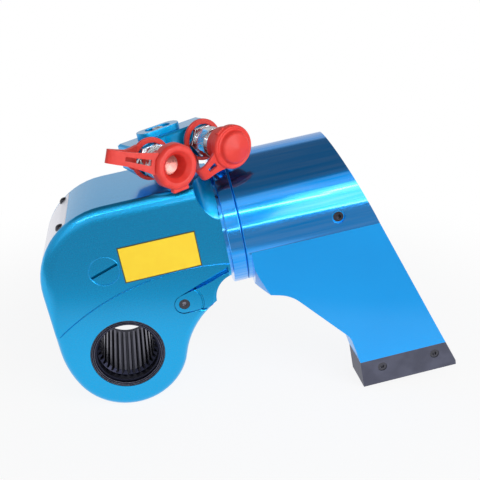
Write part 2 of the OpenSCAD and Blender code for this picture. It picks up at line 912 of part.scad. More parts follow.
module drive_pawl() {
    half = ratchet_half - 0.5;
    mesh_gap = 0.25;
    root = ratchet_r - tooth_h;
    color(black) at_rest_swing() difference() {
        across(-half, half) difference() {
            translate([-pawl_half_w, root]) square([2 * pawl_half_w, pawl_top - root]);
            ratchet_outline(mesh_gap);
        }
        for (s = [-1, 1]) translate([0, s * spring_y, 0])
            post(pawl_top - spring_cup, pawl_top + over, spring_cup_r);
    }
}

module pawl_bridge() {
    half = plate_out - 0.5;
    bar_half = plate_in - slip_gap;
    color(steel) at_rest_swing() difference() {
        union() {
            cross_bar(0, bridge_z, -half, half, bridge_r);
            translate([-bridge_w / 2, -bar_half, bridge_z - bridge_r])
                cube([bridge_w, 2 * bar_half, 2 * bridge_r]);
        }
        for (s = [-1, 1]) translate([0, s * spring_y, bridge_z - bridge_r])
            post(-over, spring_cup - over, spring_cup_r);
    }
}

module pawl_springs() {
    turns = 4;
    z1 = bridge_z - bridge_r + spring_cup - over;
    color(steel) at_rest_swing() for (s = [-1, 1]) translate([0, s * spring_y, 0])
        coil(spring_r, spring_wire, pawl_top - spring_cup + seat_gap, z1 - seat_gap, turns);
}

// One gap between two drive spline teeth, narrower outwards
module spline_gap() {
    w = PI * spline_root_r / drive_spline_count;
    in_r = spline_root_r - 2;
    polygon([
        [in_r, -w * 0.7], [drive_spline_r, -w * 0.42], [drive_spline_r, w * 0.42], [in_r, w * 0.7]
    ]);
}

// The drive spline runs through the hub, set back between two round pilots
module ratchet() {
    color(black) at_rest_swing() difference() {
        union() {
            across(-ratchet_half, ratchet_half) ratchet_outline();
            cross_bar(0, 0, -hub_half, hub_half, journal_r);
        }
        across(-hub_half - over, hub_half + over) {
            circle(r = spline_root_r);
            for (i = [0:drive_spline_count - 1]) rotate(i * 360 / drive_spline_count) spline_gap();
        }
        both_sides() {
            cross_bar(0, 0, spline_half, hub_half + over, pilot_r);
            translate([0, spline_half - lead_in, 0]) rotate([-90, 0, 0])
                cylinder(h = lead_in + seat_gap, r1 = spline_root_r, r2 = pilot_r);
        }
    }
}

// Reaction pawl and lever

// The pawl rides just clear of the tooth crests
module reaction_pawl() {
    half = ratchet_half - 0.5;
    notch = [tooth_h, tooth_h];
    color(black) difference() {
        across(-half, half) difference() {
            pawl_side(0, 0);
            circle(r = ratchet_r + slip_gap);
            for (a = [pawl_dir - 3, pawl_dir + 7])
                rotate(a) translate([ratchet_r, -notch[1] / 2]) square(notch);
        }
        cross_bar(pivot_x, pivot_z, -far, far, shaft_r + seat_gap);
    }
}

module pawl_shaft() {
    color(steel) cross_bar(pivot_x, pivot_z, -pocket_floor, shaft_end, shaft_r);
}

// Side of the lever, hollowed along its upper edge and following the throat
module lever_side() {
    intersection() {
        lever_wedge(lever_r, lever_slope);
        polygon(head_outline(edge_r * 0.4, pocket_end - slip_gap));
        difference() {
            square(far);
            translate(lever_arc) circle(r = lever_arc_r);
        }
    }
}

module release_lever() {
    groove_w = 1.6;
    groove = 0.8;
    color(teal) difference() {
        across(-lever_face, -pocket_floor - slip_gap) lever_side();
        cross_ring(pivot_x, pivot_z, -lever_face - over, -lever_face + groove,
            lever_step_r, lever_step_r + groove_w);
        cross_bar(pivot_x, pivot_z, -lever_face - over, -lever_face + 3, lever_screw_r + seat_gap);
        cross_bar(pivot_x, pivot_z, -lever_face - over, 0, screw_hole_r);
    }
}

module lever_screw() {
    color(black) translate([pivot_x, -lever_face + 0.2, pivot_z]) rotate([90, 0, 0])
        socket_screw(lever_screw_r, 2.7, lever_t, 2);
}

// Reaction arm pieces

// Side of the leg, from the sleeve down to the top of the shoe and past the rear plane
module leg_side() {
    past = 10;
    polygon(rounded([
        [hip_x, axis_h, 0], [hip_x, hip_z, 0], knee, shin_end, [heel_x, -shoe_top, 0],
        [rear_plane_x + shoe_top * lean + past, -shoe_top, 0],
        [rear_plane_x - axis_h * lean + past, axis_h, 0]
    ]));
}

// Front of the leg, which leans over to the drive side
module leg_front() {
    crease = sleeve_r * [-cos(flat_turn), -sin(flat_turn)] + [0, axis_h];
    ankle = [-foot_near, -shoe_top + foot_band];
    flat_top = crease + (crease - ankle) * 0.1;
    hip = (sleeve_r - 2) * [cos(far_turn), -sin(far_turn)] + [0, axis_h];
    polygon([
        flat_top, ankle, [-foot_near, -shoe_top], [foot_far, -shoe_top],
        [foot_far, -shoe_top + foot_band + 10], hip, [hip[0], axis_h], [flat_top[0], axis_h]
    ]);
}

// Outline of the shoe's side, moved inwards by d
module shoe_side(d) {
    toe_x = rear_plane_x + (sole_drop - toe_h) * lean;
    polygon([
        [heel_x + d, -shoe_top], [heel_x + d, -sole_drop + d], [toe_x - d, -sole_drop + d],
        [toe_x - d, -sole_drop + toe_h + d / 2], [rear_plane_x + shoe_top * lean - d, -shoe_top]
    ]);
}

// Tongue of the foot that the shoe takes in, or its pocket when grown by g
module foot_tongue(g) {
    root = g > 0 ? over : over / 2;
    across(-foot_near + tongue_inset - g, foot_far - tongue_inset + g)
        translate([heel_x + tongue_inset - g, -shoe_top - tongue_h - g])
            square([rear_plane_x + shoe_top * lean - heel_x - 2 * tongue_inset + 2 * g, tongue_h + g + root]);
}

// Half-space behind the leaning rear plane
module behind_arm() {
    translate([rear_plane_x, -far / 2, 0]) rotate([0, -rear_lean, 0])
        translate([0, 0, -far]) cube([far, far, 2 * far]);
}

module reaction_arm() {
    seat = 1.5;
    color(blue) difference() {
        union() {
            axis_bar(arm_x, arm_x + rim_chamfer, sleeve_r - rim_chamfer, sleeve_r);
            axis_bar(arm_x + rim_chamfer, rear_plane_x, sleeve_r);
            intersection() {
                across(-far, far) leg_side();
                along(0, far) leg_front();
                axis_bar(hip_x - 8, hip_x - 8 + flare_len, flare_r, flare_r + flare_len * flare_rate);
            }
            foot_tongue(0);
        }
        behind_arm();
        difference() {
            axis_bar(arm_x - over, far, barrel_r + arm_fit);
            along(arm_x + rim_chamfer, barrel_rear)
                spline_bars(barrel_r - spline_depth + arm_fit, barrel_r + over, spline_w - 2 * arm_fit);
        }
        cross_bar(lock_x, axis_h, -far, 0, lock_r + seat_gap);
        cross_bar(lock_x, axis_h, -far, -sleeve_r + seat, lock_r + 1.2);
        for (x = shoe_screw_places)
            cross_bar(x, shoe_screw_z, -far, foot_far - tongue_inset - 3, screw_hole_r);
    }
}

module arm_lock_screw() {
    key_r = 2.3;
    key_depth = 3;
    color(black) difference() {
        cross_bar(lock_x, axis_h, -sleeve_r + over, -barrel_r - arm_fit, lock_r);
        translate([lock_x, -sleeve_r + over + key_depth, axis_h]) rotate([90, 0, 0])
            cylinder(h = key_depth + over, r = key_r, $fn = 6);
    }
}

module reaction_shoe() {
    counterbore = 3;
    color(grey) difference() {
        across(-foot_near, foot_far) shoe_side(0);
        foot_tongue(seat_gap);
        for (x = shoe_screw_places) {
            cross_bar(x, shoe_screw_z, -far, -foot_near + tongue_inset + over, screw_hole_r);
            cross_bar(x, shoe_screw_z, -far, -foot_near + counterbore, shoe_screw_head + seat_gap);
        }
    }
}

module shoe_screws() {
    inset = 0.6;
    color(black) for (x = shoe_screw_places) translate([x, -foot_near + inset, shoe_screw_z])
        rotate([90, 0, 0]) socket_screw(shoe_screw_head, 2.3, shoe_screw_len, 1.9);
}

// Swivel pieces

module swivel_post() {
    color(steel) translate([post_x, 0, 0]) difference() {
        union() {
            post(head_top - post_seat, block_z - slip_gap, post_base_r);
            post(head_top, block_top - slip_gap, post_r);
        }
        for (z = post_seal_places) ring(z, z + post_seal_h, post_seal_r, post_r + over);
        post(block_top - shroud_screw_len, block_top + over, screw_hole_r);
    }
}

module post_seals() {
    color(seal_black) for (z = post_seal_places) translate([post_x, 0, 0])
        ring(z + seat_gap, z + post_seal_h - seat_gap, post_seal_r + seat_gap, post_r);
}

// Front outline of the block, with its lower corners cut away
module block_front() {
    x0 = block_shift - block_len / 2;
    x1 = block_shift + block_len / 2;
    b = block_bevel;
    polygon([
        [x0, block_z + block_cut], [x0 + block_cut, block_z],
        [x1 - block_cut, block_z], [x1, block_z + block_cut],
        [x1, block_top - b], [x1 - b, block_top], [x0 + b, block_top], [x0, block_top - b]
    ]);
}

// End outline of the block, with its long edges bevelled
module block_side() {
    f = block_face;
    b = block_bevel;
    polygon([
        [-f, block_z + b], [-f + b, block_z], [f - b, block_z], [f, block_z + b],
        [f, block_top - b], [f - b, block_top], [-f + b, block_top], [-f, block_top - b]
    ]);
}

module swivel_block() {
    groove = 0.6;
    color(teal) on_swivel() difference() {
        intersection() {
            across(-block_face, block_face) block_front();
            along(-block_len, block_len) block_side();
        }
        post(block_z - over, block_top + over, post_r + run_gap);
        // Fine groove down the front, in line with the post
        translate([-groove / 2, -block_face - over, block_z - over])
            cube([groove, over + groove, block_h + 2 * over]);
        for (s = [-1, 1]) translate([coupling_place(s), -block_face, coupling_z]) rotate([90, 0, 0])
            post(-thread_len - over, over, thread_r + seat_gap);
    }
}

// Oblong cap that keeps the block on its post
module post_retainer() {
    color(teal) on_swivel() difference() {
        translate([0, 0, retainer_z]) linear_extrude(boss_h) oblong(boss_half, boss_r);
        translate([0, 0, retainer_z + boss_wall]) linear_extrude(boss_h)
            oblong(boss_half - 2 * boss_wall, boss_r - boss_wall);
        post(block_top, block_top + boss_h + over, screw_hole_r);
    }
}

module retainer_screw() {
    head_h = 2;
    color(steel) on_swivel() translate([0, 0, retainer_z + boss_wall + seat_gap + head_h])
        socket_screw(boss_r - boss_wall - 0.4, head_h, shroud_screw_len, 2);
}

// Couplings, drawn along Z from the block's face

module female_coupler() {
    waist = 10.5;
    groove = 1;
    color(steel) on_coupling(-1) difference() {
        union() {
            post(-thread_len, seat_gap + over, thread_r);
            translate([0, 0, seat_gap]) cylinder(h = hex_h, r = hex_r, $fn = 6);
            post(hex_h, 14, waist);
            post(14, 17, waist, coupler_r);
            post(17, coupler_len, coupler_r);
        }
        post(coupler_len - socket_depth, coupler_len + over, socket_r);
        post(-thread_len - over, coupler_len, port_r);
        for (z = [20, 23]) ring(z, z + groove, coupler_r - groove / 2, coupler_r + over);
    }
}

module male_coupler() {
    tip = 4;
    color(steel) on_coupling(1) difference() {
        union() {
            post(-thread_len, seat_gap + over, thread_r);
            translate([0, 0, seat_gap]) cylinder(h = hex_h, r = hex_r, $fn = 6);
            post(hex_h, 14, 9);
            post(14, 24, coupler_r - 1.5);
            post(24, nipple_len, nipple_r);
            post(nipple_len, nipple_len + tip, nipple_r, nipple_r - 2);
        }
        post(-thread_len - over, nipple_len + tip + over, port_r);
    }
}

// Dust plug: a rim before the socket, with a hollow nose that goes into it
module dust_plug() {
    floor = 2;
    cone = 4;
    bevel = 1.5;
    z1 = plug_z0 + plug_rim;
    hollow = plug_z0 - plug_nose + floor;
    color(red) on_coupling(-1) difference() {
        union() {
            post(plug_z0, z1 - bevel, plug_r);
            post(z1 - bevel, z1, plug_r, plug_r - bevel);
            post(plug_z0 - plug_nose, plug_z0 + over, socket_r - slip_gap);
        }
        post(hollow + cone, z1 + over, plug_hollow_r);
        post(hollow, hollow + cone + seat_gap, bevel, plug_hollow_r);
        post(z1 - bevel, z1 + seat_gap, plug_hollow_r, plug_hollow_r + bevel);
    }
}

// Dust cap: a cup over the nipple with a shallow cone on its closed end
module dust_cap() {
    z0 = nipple_len - 12;
    face = 3.5;
    cone = 2.5;
    color(red) on_coupling(1) difference() {
        union() {
            post(z0, cap_end, cap_skirt_r);
            post(cap_end - cap_flange, cap_end, cap_r);
            post(cap_end - over, cap_end + face, cap_face_r);
            post(cap_end + face, cap_end + face + cone, cap_face_r, 1);
        }
        post(z0 - over, cap_end - over / 2, nipple_r + slip_gap);
    }
}

// A straight stretch of strap between two points
module limb(a, b) {
    d = b - a;
    translate(a) rotate(atan2(d[1], d[0])) translate([0, -strap_t / 2]) square([norm(d), strap_t]);
}

// A moulded strap with its retaining ring. It runs out from the cover's rim in the direction dir,
// folds at [distance, height] and comes back to the ring behind the coupling's hexagon.
module strap(dir, rim_r, cover_z, fold) {
    start = [rim_r + slip_gap + strap_t / 4, cover_z];
    back = [strap_ring_r, strap_ring_z + strap_t / 2];
    slot = [norm(fold - start) * 0.55, strap_w * 0.28, far / 8];
    rotate(dir) {
        difference() {
            rotate([90, 0, 0]) translate([0, 0, -strap_w / 2]) linear_extrude(strap_w) {
                limb(start, fold);
                limb(fold, back);
                translate(fold) circle(r = strap_t / 2 + fold_bulge);
            }
            // Slot along the middle of the outer limb
            translate([(start[0] + fold[0]) / 2, 0, (start[1] + fold[1]) / 2 + slot[2] / 2 - strap_t])
                cube(slot, center = true);
            post(0, strap_ring_z + strap_t + over, strap_ring_r + over);
        }
        ring(strap_ring_z, strap_ring_z + strap_t, strap_ring_r, strap_ring_r + strap_ring_w);
    }
}

module plug_strap() {
    color(red) on_coupling(-1) strap(plug_strap_dir, plug_r, coupler_len + plug_rim / 2,
        [plug_r + plug_fold_out, coupler_len - plug_fold_back]);
}

module cap_strap() {
    color(red) on_coupling(1) strap(cap_strap_dir, cap_r, cap_end - cap_flange / 2,
        [cap_r + cap_fold_out, nipple_len - cap_fold_back]);
}

// The assembly

stand() housing();
stand() front_shroud();
stand() shroud_screws();
stand() access_plug();
stand() bushing_near();
stand() bushing_far();
stand() cylinder_barrel();
stand() rod_seal();
stand() end_cap();
stand() end_cap_seal();
stand() stop_collar();
stand() swivel_post();
stand() piston();
stand() piston_seal();
stand() wear_rings();
stand() piston_rod();
stand() drive_plate_near();
stand() drive_plate_far();
stand() rod_pin();
stand() pin_clips();
stand() drive_pawl();
stand() pawl_bridge();
stand() pawl_springs();
stand() ratchet();
stand() reaction_pawl();
stand() pawl_shaft();
stand() release_lever();
stand() lever_screw();
stand() reaction_arm();
stand() arm_lock_screw();
stand() reaction_shoe();
stand() shoe_screws();
stand() swivel_block();
stand() post_retainer();
stand() retainer_screw();
stand() post_seals();
stand() female_coupler();
stand() male_coupler();
stand() dust_plug();
stand() plug_strap();
stand() dust_cap();
stand() cap_strap();
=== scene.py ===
import json
import math

import bmesh
import bpy
from mathutils import Matrix, Vector

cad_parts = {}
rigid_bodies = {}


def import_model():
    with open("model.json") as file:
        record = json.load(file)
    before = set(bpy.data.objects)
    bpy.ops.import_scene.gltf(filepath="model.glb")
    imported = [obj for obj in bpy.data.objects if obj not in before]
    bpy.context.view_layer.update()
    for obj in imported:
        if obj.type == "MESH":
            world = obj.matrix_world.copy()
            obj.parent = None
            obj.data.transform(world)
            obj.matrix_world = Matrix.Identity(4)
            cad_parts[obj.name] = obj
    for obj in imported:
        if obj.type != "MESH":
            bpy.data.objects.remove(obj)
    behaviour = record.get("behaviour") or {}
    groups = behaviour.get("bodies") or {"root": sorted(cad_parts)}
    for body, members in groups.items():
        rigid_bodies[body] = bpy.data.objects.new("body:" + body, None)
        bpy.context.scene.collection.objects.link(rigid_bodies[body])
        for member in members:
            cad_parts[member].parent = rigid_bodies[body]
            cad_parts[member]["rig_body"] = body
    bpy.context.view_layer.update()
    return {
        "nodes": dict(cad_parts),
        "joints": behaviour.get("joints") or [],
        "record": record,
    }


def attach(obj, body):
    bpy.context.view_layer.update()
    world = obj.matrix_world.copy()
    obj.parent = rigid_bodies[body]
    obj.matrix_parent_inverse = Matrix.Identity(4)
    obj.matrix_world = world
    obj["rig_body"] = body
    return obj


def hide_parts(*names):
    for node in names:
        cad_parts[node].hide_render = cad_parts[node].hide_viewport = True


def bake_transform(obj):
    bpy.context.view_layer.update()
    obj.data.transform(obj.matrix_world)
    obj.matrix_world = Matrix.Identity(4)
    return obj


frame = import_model()
nodes = frame["nodes"]

# Sizes in millimetres, in the tool's own axes:
# x to the rear, y away from the label's side, z up from the drive axis
SIDE_FACE_Y = -45.5
LABEL_FACE_Y = -44.3
HEAD_REAR = 93.5
AXIS_Z = 76.0
SLEEVE_R = 52.0
SPLINE_TIP_R = 21.5
COVE_R = 15.0
COVE_OUTER_R = 62.0

# Label plate: its corners, the width of its border, its thickness and the bevel of its edge
LABEL = [(12.4, 59.5), (72.6, 59.6), (72.6, 88.9), (12.4, 89.1)]
LABEL_BORDER = 0.8
LABEL_THICK = 0.4
LABEL_BEVEL = 0.12

# Access plug: x, z and radius, and the depths between which its slot lies
ACCESS_PLUG = (-0.9, 73.0, 11.3)
PLUG_SLOT = (0.35, 3.0)

# Release lever: its pivot, the radii and depth of its groove, and the depth and core of its screw's socket
PIVOT = (52.4, 30.9)
LEVER_GROOVE = (13.9, 15.7)
GROOVE_DEPTH = 0.7
SOCKET_DEPTH = 1.8
SOCKET_CORE_R = 0.9

# Near upper edge of the head: the solid's rounding, the reach of the eased rounding at its lower end and
# at the crown, the heights over which it begins, and the height from which it has its full reach
EDGE_R = 7.0
CROWN_EASE = (3.06, 10.5)
CROWN_FROM = (24.0, 28.0)
CROWN_FULL = 64.0
# Rows over the eased rounding, and heights at which its front end is cut into short lengths
CROWN_ROWS = 8
CROWN_CUTS = (24.6, 26, 27.5, 29, 31, 34, 38, 42, 47, 52)
CROWN_CUTS_BEFORE_X = -15.0

# Swivel block with its two couplings
POST_X = 63.0
BLOCK_YAW = math.radians(27)
BLOCK_FACE = 10.0
COUPLING_Z = 144.0
COUPLING_SHIFT = 5.0
COUPLING_PITCH = 47.5
COUPLING_PLACE = {"plug": COUPLING_SHIFT - COUPLING_PITCH / 2, "cap": COUPLING_SHIFT + COUPLING_PITCH / 2}
COUPLER_LEN = 34.0
NIPPLE_LEN = 43.0
PLUG_R = 17.0
CAP_R = 16.5

# Straps: inner and outer radius, foot and top of the ring, thickness, and depth of the root in a cover's rim
STRAP_RING = (12.9, 15.6, 3.0, 6.0)
STRAP_THICK = 2.8
STRAP_ROOT = 2.2
# Band of a strap: rows along it, half its width, what its arms and its end at the ring add to that,
# the length of that end, half the gap between the arms, and where the gap lies
BAND_ROWS = 56
BAND_HALF = 5.0
ARMS_ADD = 3.2
END_ADD = 4.5
END_LEN = 16.0
GAP_HALF = 1.5
GAP_ADD = 1.0
GAP_FROM = 3.2
GAP_SHARE = 0.56
FLARE_SHARE = 0.6
FOLD_EASE = 9.0

# Tolerances
TINY = 0.001
SLIGHT = 0.01
RIM_NEAR = 0.02
RIM_MATCH = 0.3
SIDE_ON = 0.9999

rear = Vector(next(j["axis"] for j in frame["joints"] if j["name"] == "arm_slide"))
TILT = math.atan2(rear.z, rear.x)
TOOL = Matrix.Scale(0.001, 4) @ Matrix.Rotation(-TILT, 4, "Y")
TO_TOOL = TOOL.inverted()


def on_coupling(side):
    """Frame of a coupling: Z outwards along its axis from the block's face, in millimetres."""
    return (
        TOOL
        @ Matrix.Translation((POST_X, 0, 0))
        @ Matrix.Rotation(BLOCK_YAW, 4, "Z")
        @ Matrix.Translation((COUPLING_PLACE[side], -BLOCK_FACE, COUPLING_Z))
        @ Matrix.Rotation(math.radians(90), 4, "X")
    )


# Shader trees


class Wire:
    """A shader value. Arithmetic on it adds Math nodes to its tree."""

    def __init__(self, tree, socket):
        self.tree = tree
        self.socket = socket

    def math(self, operation, *values):
        return self.tree.node("ShaderNodeMath", {"operation": operation}, dict(enumerate(values)))

    def __add__(self, other):
        return self.math("ADD", self, other)

    __radd__ = __add__

    def __sub__(self, other):
        return self.math("SUBTRACT", self, other)

    def __rsub__(self, other):
        return self.math("SUBTRACT", other, self)

    def __mul__(self, other):
        return self.math("MULTIPLY", self, other)

    def __pow__(self, other):
        return self.math("POWER", self, other)

    def clamp(self):
        return self.tree.node("ShaderNodeClamp", {}, {0: self})

    def ramp(self, low, high):
        """0 below low, 1 above high, smooth between them."""
        values = {"Value": self, "From Min": low, "From Max": high}
        return self.tree.node("ShaderNodeMapRange", {"interpolation_type": "SMOOTHSTEP"}, values)


class Tree:
    """A node tree that is filled by expressions."""

    def __init__(self, owner):
        owner.use_nodes = True
        self.tree = owner.node_tree
        self.tree.nodes.clear()

    def node(self, kind, settings, values, out=0):
        made = self.tree.nodes.new(kind)
        for key, value in settings.items():
            setattr(made, key, value)
        for key, value in values.items():
            if isinstance(value, Wire):
                self.tree.links.new(value.socket, made.inputs[key])
            else:
                made.inputs[key].default_value = value
        return Wire(self, made.outputs[out]) if made.outputs else made

    def ray(self, kind):
        """1 for a ray of the kind, such as Camera, and 0 for others."""
        return self.node("ShaderNodeLightPath", {}, {}, f"Is {kind} Ray")

    def part(self, vector, axis):
        return self.node("ShaderNodeSeparateXYZ", {}, {0: vector}, axis)

    def place(self, scale=(1, 1, 1), turn=(0, 0, 0)):
        """Object coordinates in metres, turned and then scaled."""
        coords = self.node("ShaderNodeTexCoord", {}, {}, "Object")
        turned = self.node("ShaderNodeMapping", {}, {"Vector": coords, "Rotation": turn})
        return self.node("ShaderNodeMapping", {}, {"Vector": turned, "Scale": scale})

    def noise(self, where, scale, detail=3.0, roughness=0.55):
        """Noise that lies round NOISE_MEAN."""
        values = {"Vector": where, "Scale": scale, "Detail": detail, "Roughness": roughness}
        return self.node("ShaderNodeTexNoise", {}, values)

    def blend(self, factor, a, b):
        """Colour a where factor is 0 and b where it is 1."""
        return self.node("ShaderNodeMix", {"data_type": "RGBA"}, {0: factor, 6: a, 7: b}, 2)

    def bump(self, height, depth):
        return self.node("ShaderNodeBump", {}, {"Height": height, "Distance": depth, "Strength": 1.0})


NOISE_MEAN = 0.5
ALONG = (0, TILT, 0)


def rgb(r, g, b):
    """A colour as it looks on a screen, 0 to 255, made linear."""

    def linear(c):
        return ((c / 255 + 0.055) / 1.055) ** 2.4 if c > 10 else c / 255 / 12.92

    return (linear(r), linear(g), linear(b), 1.0)


def finish(name, build):
    """A material whose surface sockets come from build(tree)."""
    material = bpy.data.materials.new(name)
    tree = Tree(material)
    surface = tree.node("ShaderNodeBsdfPrincipled", {}, build(tree))
    tree.node("ShaderNodeOutputMaterial", {}, {"Surface": surface})
    return material


def anodised(base, deep, rough, streak, coat, coat_ior=1.5, drawn=0.0):
    """Dyed and sealed aluminium: a metal colour under a clear layer, with faint marks along the tool.

    A drawn piece has lines along the tool in its clear layer.
    """

    def build(t):
        seal = coat
        if drawn:
            lines = t.noise(t.place((14, 420, 420), ALONG), scale=1, detail=2, roughness=0.5)
            seal = (coat + (lines - NOISE_MEAN) * drawn).clamp()
        cloud = t.noise(t.place(), scale=9, detail=2)
        grain = t.noise(t.place(), scale=2600, detail=2)
        marks = t.noise(t.place((30, 620, 620), ALONG), scale=1, detail=3, roughness=0.6)
        wear = rough + (marks - NOISE_MEAN) * streak + (grain - NOISE_MEAN) * 0.04
        return {
            "Base Color": t.blend(cloud.ramp(0.3, 0.7), deep, base),
            "Metallic": 1.0,
            "Roughness": wear.clamp(),
            "Normal": t.bump(marks * streak, depth=0.00004),
            "Coat Weight": seal,
            "Coat Roughness": 0.07,
            "Coat IOR": coat_ior,
        }

    return build


def steel(base, rough, grain_size, depth, coat=0.0, uneven=1.0):
    """Bare or blacked steel with fine machining grain."""

    def build(t):
        grain = t.noise(t.place(), scale=grain_size, detail=4)
        cloud = t.noise(t.place(), scale=60, detail=2)
        dark = tuple(c * (1 - 0.2 * uneven) for c in base[:3]) + (1.0,)
        wear = rough + (grain - NOISE_MEAN) * 0.18 * uneven + (cloud - NOISE_MEAN) * 0.1 * uneven
        return {
            "Base Color": t.blend(cloud.ramp(0.35, 0.65), dark, base),
            "Metallic": 1.0,
            "Roughness": wear.clamp(),
            "Normal": t.bump(grain, depth),
            "Coat Weight": coat,
            "Coat Roughness": 0.12,
        }

    return build


def moulded(base, shade, rough, depth, spec=0.5):
    """Soft moulded plastic or rubber."""

    def build(t):
        cloud = t.noise(t.place(), scale=130, detail=3)
        pores = t.noise(t.place(), scale=1500, detail=3)
        wear = rough + (pores - NOISE_MEAN) * 0.16 + (cloud - NOISE_MEAN) * 0.12
        return {
            "Base Color": t.blend(cloud.ramp(0.35, 0.7), shade, base),
            "Roughness": wear.clamp(),
            "Specular IOR Level": spec,
            "Normal": t.bump(pores + cloud * 2, depth),
        }

    return build


def foil(base, shade):
    """Printed foil, slightly rippled."""

    def build(t):
        ripple = t.noise(t.place(), scale=70, detail=2)
        grain = t.noise(t.place(), scale=1800, detail=2)
        return {
            "Base Color": t.blend(ripple.ramp(0.3, 0.7), shade, base),
            "Roughness": (0.38 + (grain - NOISE_MEAN) * 0.12).clamp(),
            "Normal": t.bump(ripple, depth=0.0001),
        }

    return build


TEAL = finish("teal_anodised", anodised(
    rgb(0, 172, 236), rgb(0, 169, 232), rough=0.27, streak=0.008, coat=0.7))
BLUE = finish("blue_anodised", anodised(
    rgb(2, 160, 251), rgb(0, 156, 248), rough=0.15, streak=0.08, coat=0.55, coat_ior=2.0, drawn=1.7))
MILLED_BLUE = finish("milled_blue", anodised(
    rgb(10, 172, 252), rgb(8, 168, 249), rough=0.5, streak=0.05, coat=0.45, coat_ior=1.8))
GLOSS_TEAL = finish("polished_teal", anodised(
    rgb(0, 172, 236), rgb(0, 169, 232), rough=0.22, streak=0.008, coat=1.0, coat_ior=2.2))
MILLED_TEAL = finish("milled_teal", anodised(
    rgb(0, 174, 238), rgb(0, 170, 234), rough=0.46, streak=0.008, coat=0.6, coat_ior=1.6))
# Dark teal painted into the access plug's slot and the release lever's groove, as painted shade in these
# recesses
PAINTED_SLOT_SHADE = finish("painted_slot_shade", anodised(
    rgb(0, 112, 156), rgb(0, 102, 146), rough=0.6, streak=0.03, coat=0.0))
SILVER = finish("silver_plate", steel(
    rgb(240, 240, 248), rough=0.34, grain_size=900, depth=0.000004, uneven=0.15))
STEEL = finish("ground_steel", steel(rgb(196, 198, 202), rough=0.28, grain_size=700, depth=0.00001))
BLACK = finish("blacked_steel", steel(rgb(66, 66, 76), rough=0.26, grain_size=800, depth=0.00002, coat=0.8))
# Painted light on blacked steel: a darker copy as painted shade in the bore, and paler copies as painted
# highlights, a glint in a screw socket and bright lines on edges and crests
PAINTED_BORE_SHADE = finish("bore_painted_shade", steel(rgb(46, 48, 66), rough=0.4, grain_size=800, depth=0.00002, coat=0.1))
PAINTED_GLINT = finish("painted_glint_steel", steel(rgb(150, 150, 164), rough=0.3, grain_size=800, depth=0.00001))
PAINTED_CREST_HIGHLIGHT = finish("crest_painted_highlight", steel(rgb(118, 118, 132), rough=0.3, grain_size=800, depth=0.00001))
SHOE = finish("phosphated_steel", steel(rgb(98, 100, 116), rough=0.5, grain_size=1100, depth=0.00003))
BRONZE = finish("bronze", steel(rgb(176, 128, 70), rough=0.35, grain_size=700, depth=0.00001))
RUBBER = finish("seal_rubber", moulded(rgb(26, 26, 28), rgb(20, 20, 22), rough=0.6, depth=0.00002))
CHROME = finish("coupler_chrome", steel(rgb(226, 228, 232), rough=0.1, grain_size=500, depth=0.000004))
RED = finish("red_plastic", moulded(rgb(226, 60, 50), rgb(218, 54, 45), rough=0.4, depth=0.00002, spec=0.42))
CORE = finish("cover_core", steel(rgb(222, 140, 132), rough=0.3, grain_size=700, depth=0.00001))
YELLOW = finish("label_yellow", foil(rgb(244, 209, 42), rgb(242, 204, 38)))
INK = finish("label_border", foil(rgb(70, 62, 24), rgb(62, 54, 20)))

SLOT_FINISH = {
    "teal_anodised": TEAL,
    "blue_anodised": BLUE,
    "silver_plate": SILVER,
    "bright_steel": STEEL,
    "black_steel": BLACK,
    "grey_steel": SHOE,
    "bronze": BRONZE,
    "seal_rubber": RUBBER,
    "coupler_chrome": CHROME,
    "red_plastic": RED,
}
SLOT_OF = {s["node"]: s["material_slot"] for s in frame["record"]["subparts"]}

for name, node in nodes.items():
    node.data.materials.clear()
    node.data.materials.append(SLOT_FINISH[SLOT_OF[name]])


# Solids with softened edges

# Merging distance in metres, and the angles for flat faces, softened edges and sharp shading
MERGE = 2e-6
FLAT_ANGLE = math.radians(0.5)
SOFT_ANGLE = math.radians(38)
SHARP_DEGREES = 32

# Width of the softened edges in millimetres
SOFT_EDGES = {
    "front_shroud": 0.3,
    "shroud_screws": 0.15,
    "access_plug": 0.3,
    "bushing_near": 0.2,
    "bushing_far": 0.2,
    "stop_collar": 0.25,
    "end_cap": 0.4,
    "release_lever": 0.35,
    "lever_screw": 0.15,
    "reaction_arm": 0.3,
    "arm_lock_screw": 0.15,
    "reaction_shoe": 0.5,
    "shoe_screws": 0.15,
    "swivel_block": 0.4,
    "post_retainer": 0.5,
    "retainer_screw": 0.15,
    "female_coupler": 0.3,
    "male_coupler": 0.3,
}
RATCHET_EDGE = 0.2


def piece(name, mesh, *materials):
    made = bpy.data.objects.new(name, mesh)
    bpy.context.scene.collection.objects.link(made)
    for m in materials:
        mesh.materials.append(m)
    return made


def baked(made):
    """The object with its modifiers applied to its mesh."""
    depsgraph = bpy.context.evaluated_depsgraph_get()
    mesh = bpy.data.meshes.new_from_object(made.evaluated_get(depsgraph))
    old = made.data
    made.modifiers.clear()
    made.data = mesh
    bpy.data.meshes.remove(old)
    return made


def smooth(made, degrees=SHARP_DEGREES):
    """Smooth shading with edges kept sharp above the angle, and flat faces kept flat."""
    made.data.shade_smooth()
    made.data.set_sharp_from_angle(angle=math.radians(degrees))
    even = made.modifiers.new("even_normals", "WEIGHTED_NORMAL")
    even.keep_sharp = True
    even.weight = 60
    return baked(made)


def replaced(made, node):
    """Puts the made piece in a solid's place, on the same body."""
    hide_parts(node)
    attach(made, nodes[node]["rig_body"])


def smoothstep(low, high, value):
    t = min(1, max(0, (value - low) / (high - low)))
    return t * t * (3 - 2 * t)


def nearest(point, lines):
    """The nearest point to a point on straight lines given by their ends, all flat."""
    best = None
    for a, b in lines:
        t = min(1, max(0, (point - a).dot(b - a) / (b - a).length_squared))
        foot = a.lerp(b, t)
        if best is None or (point - foot).length < (point - best).length:
            best = foot
    return best


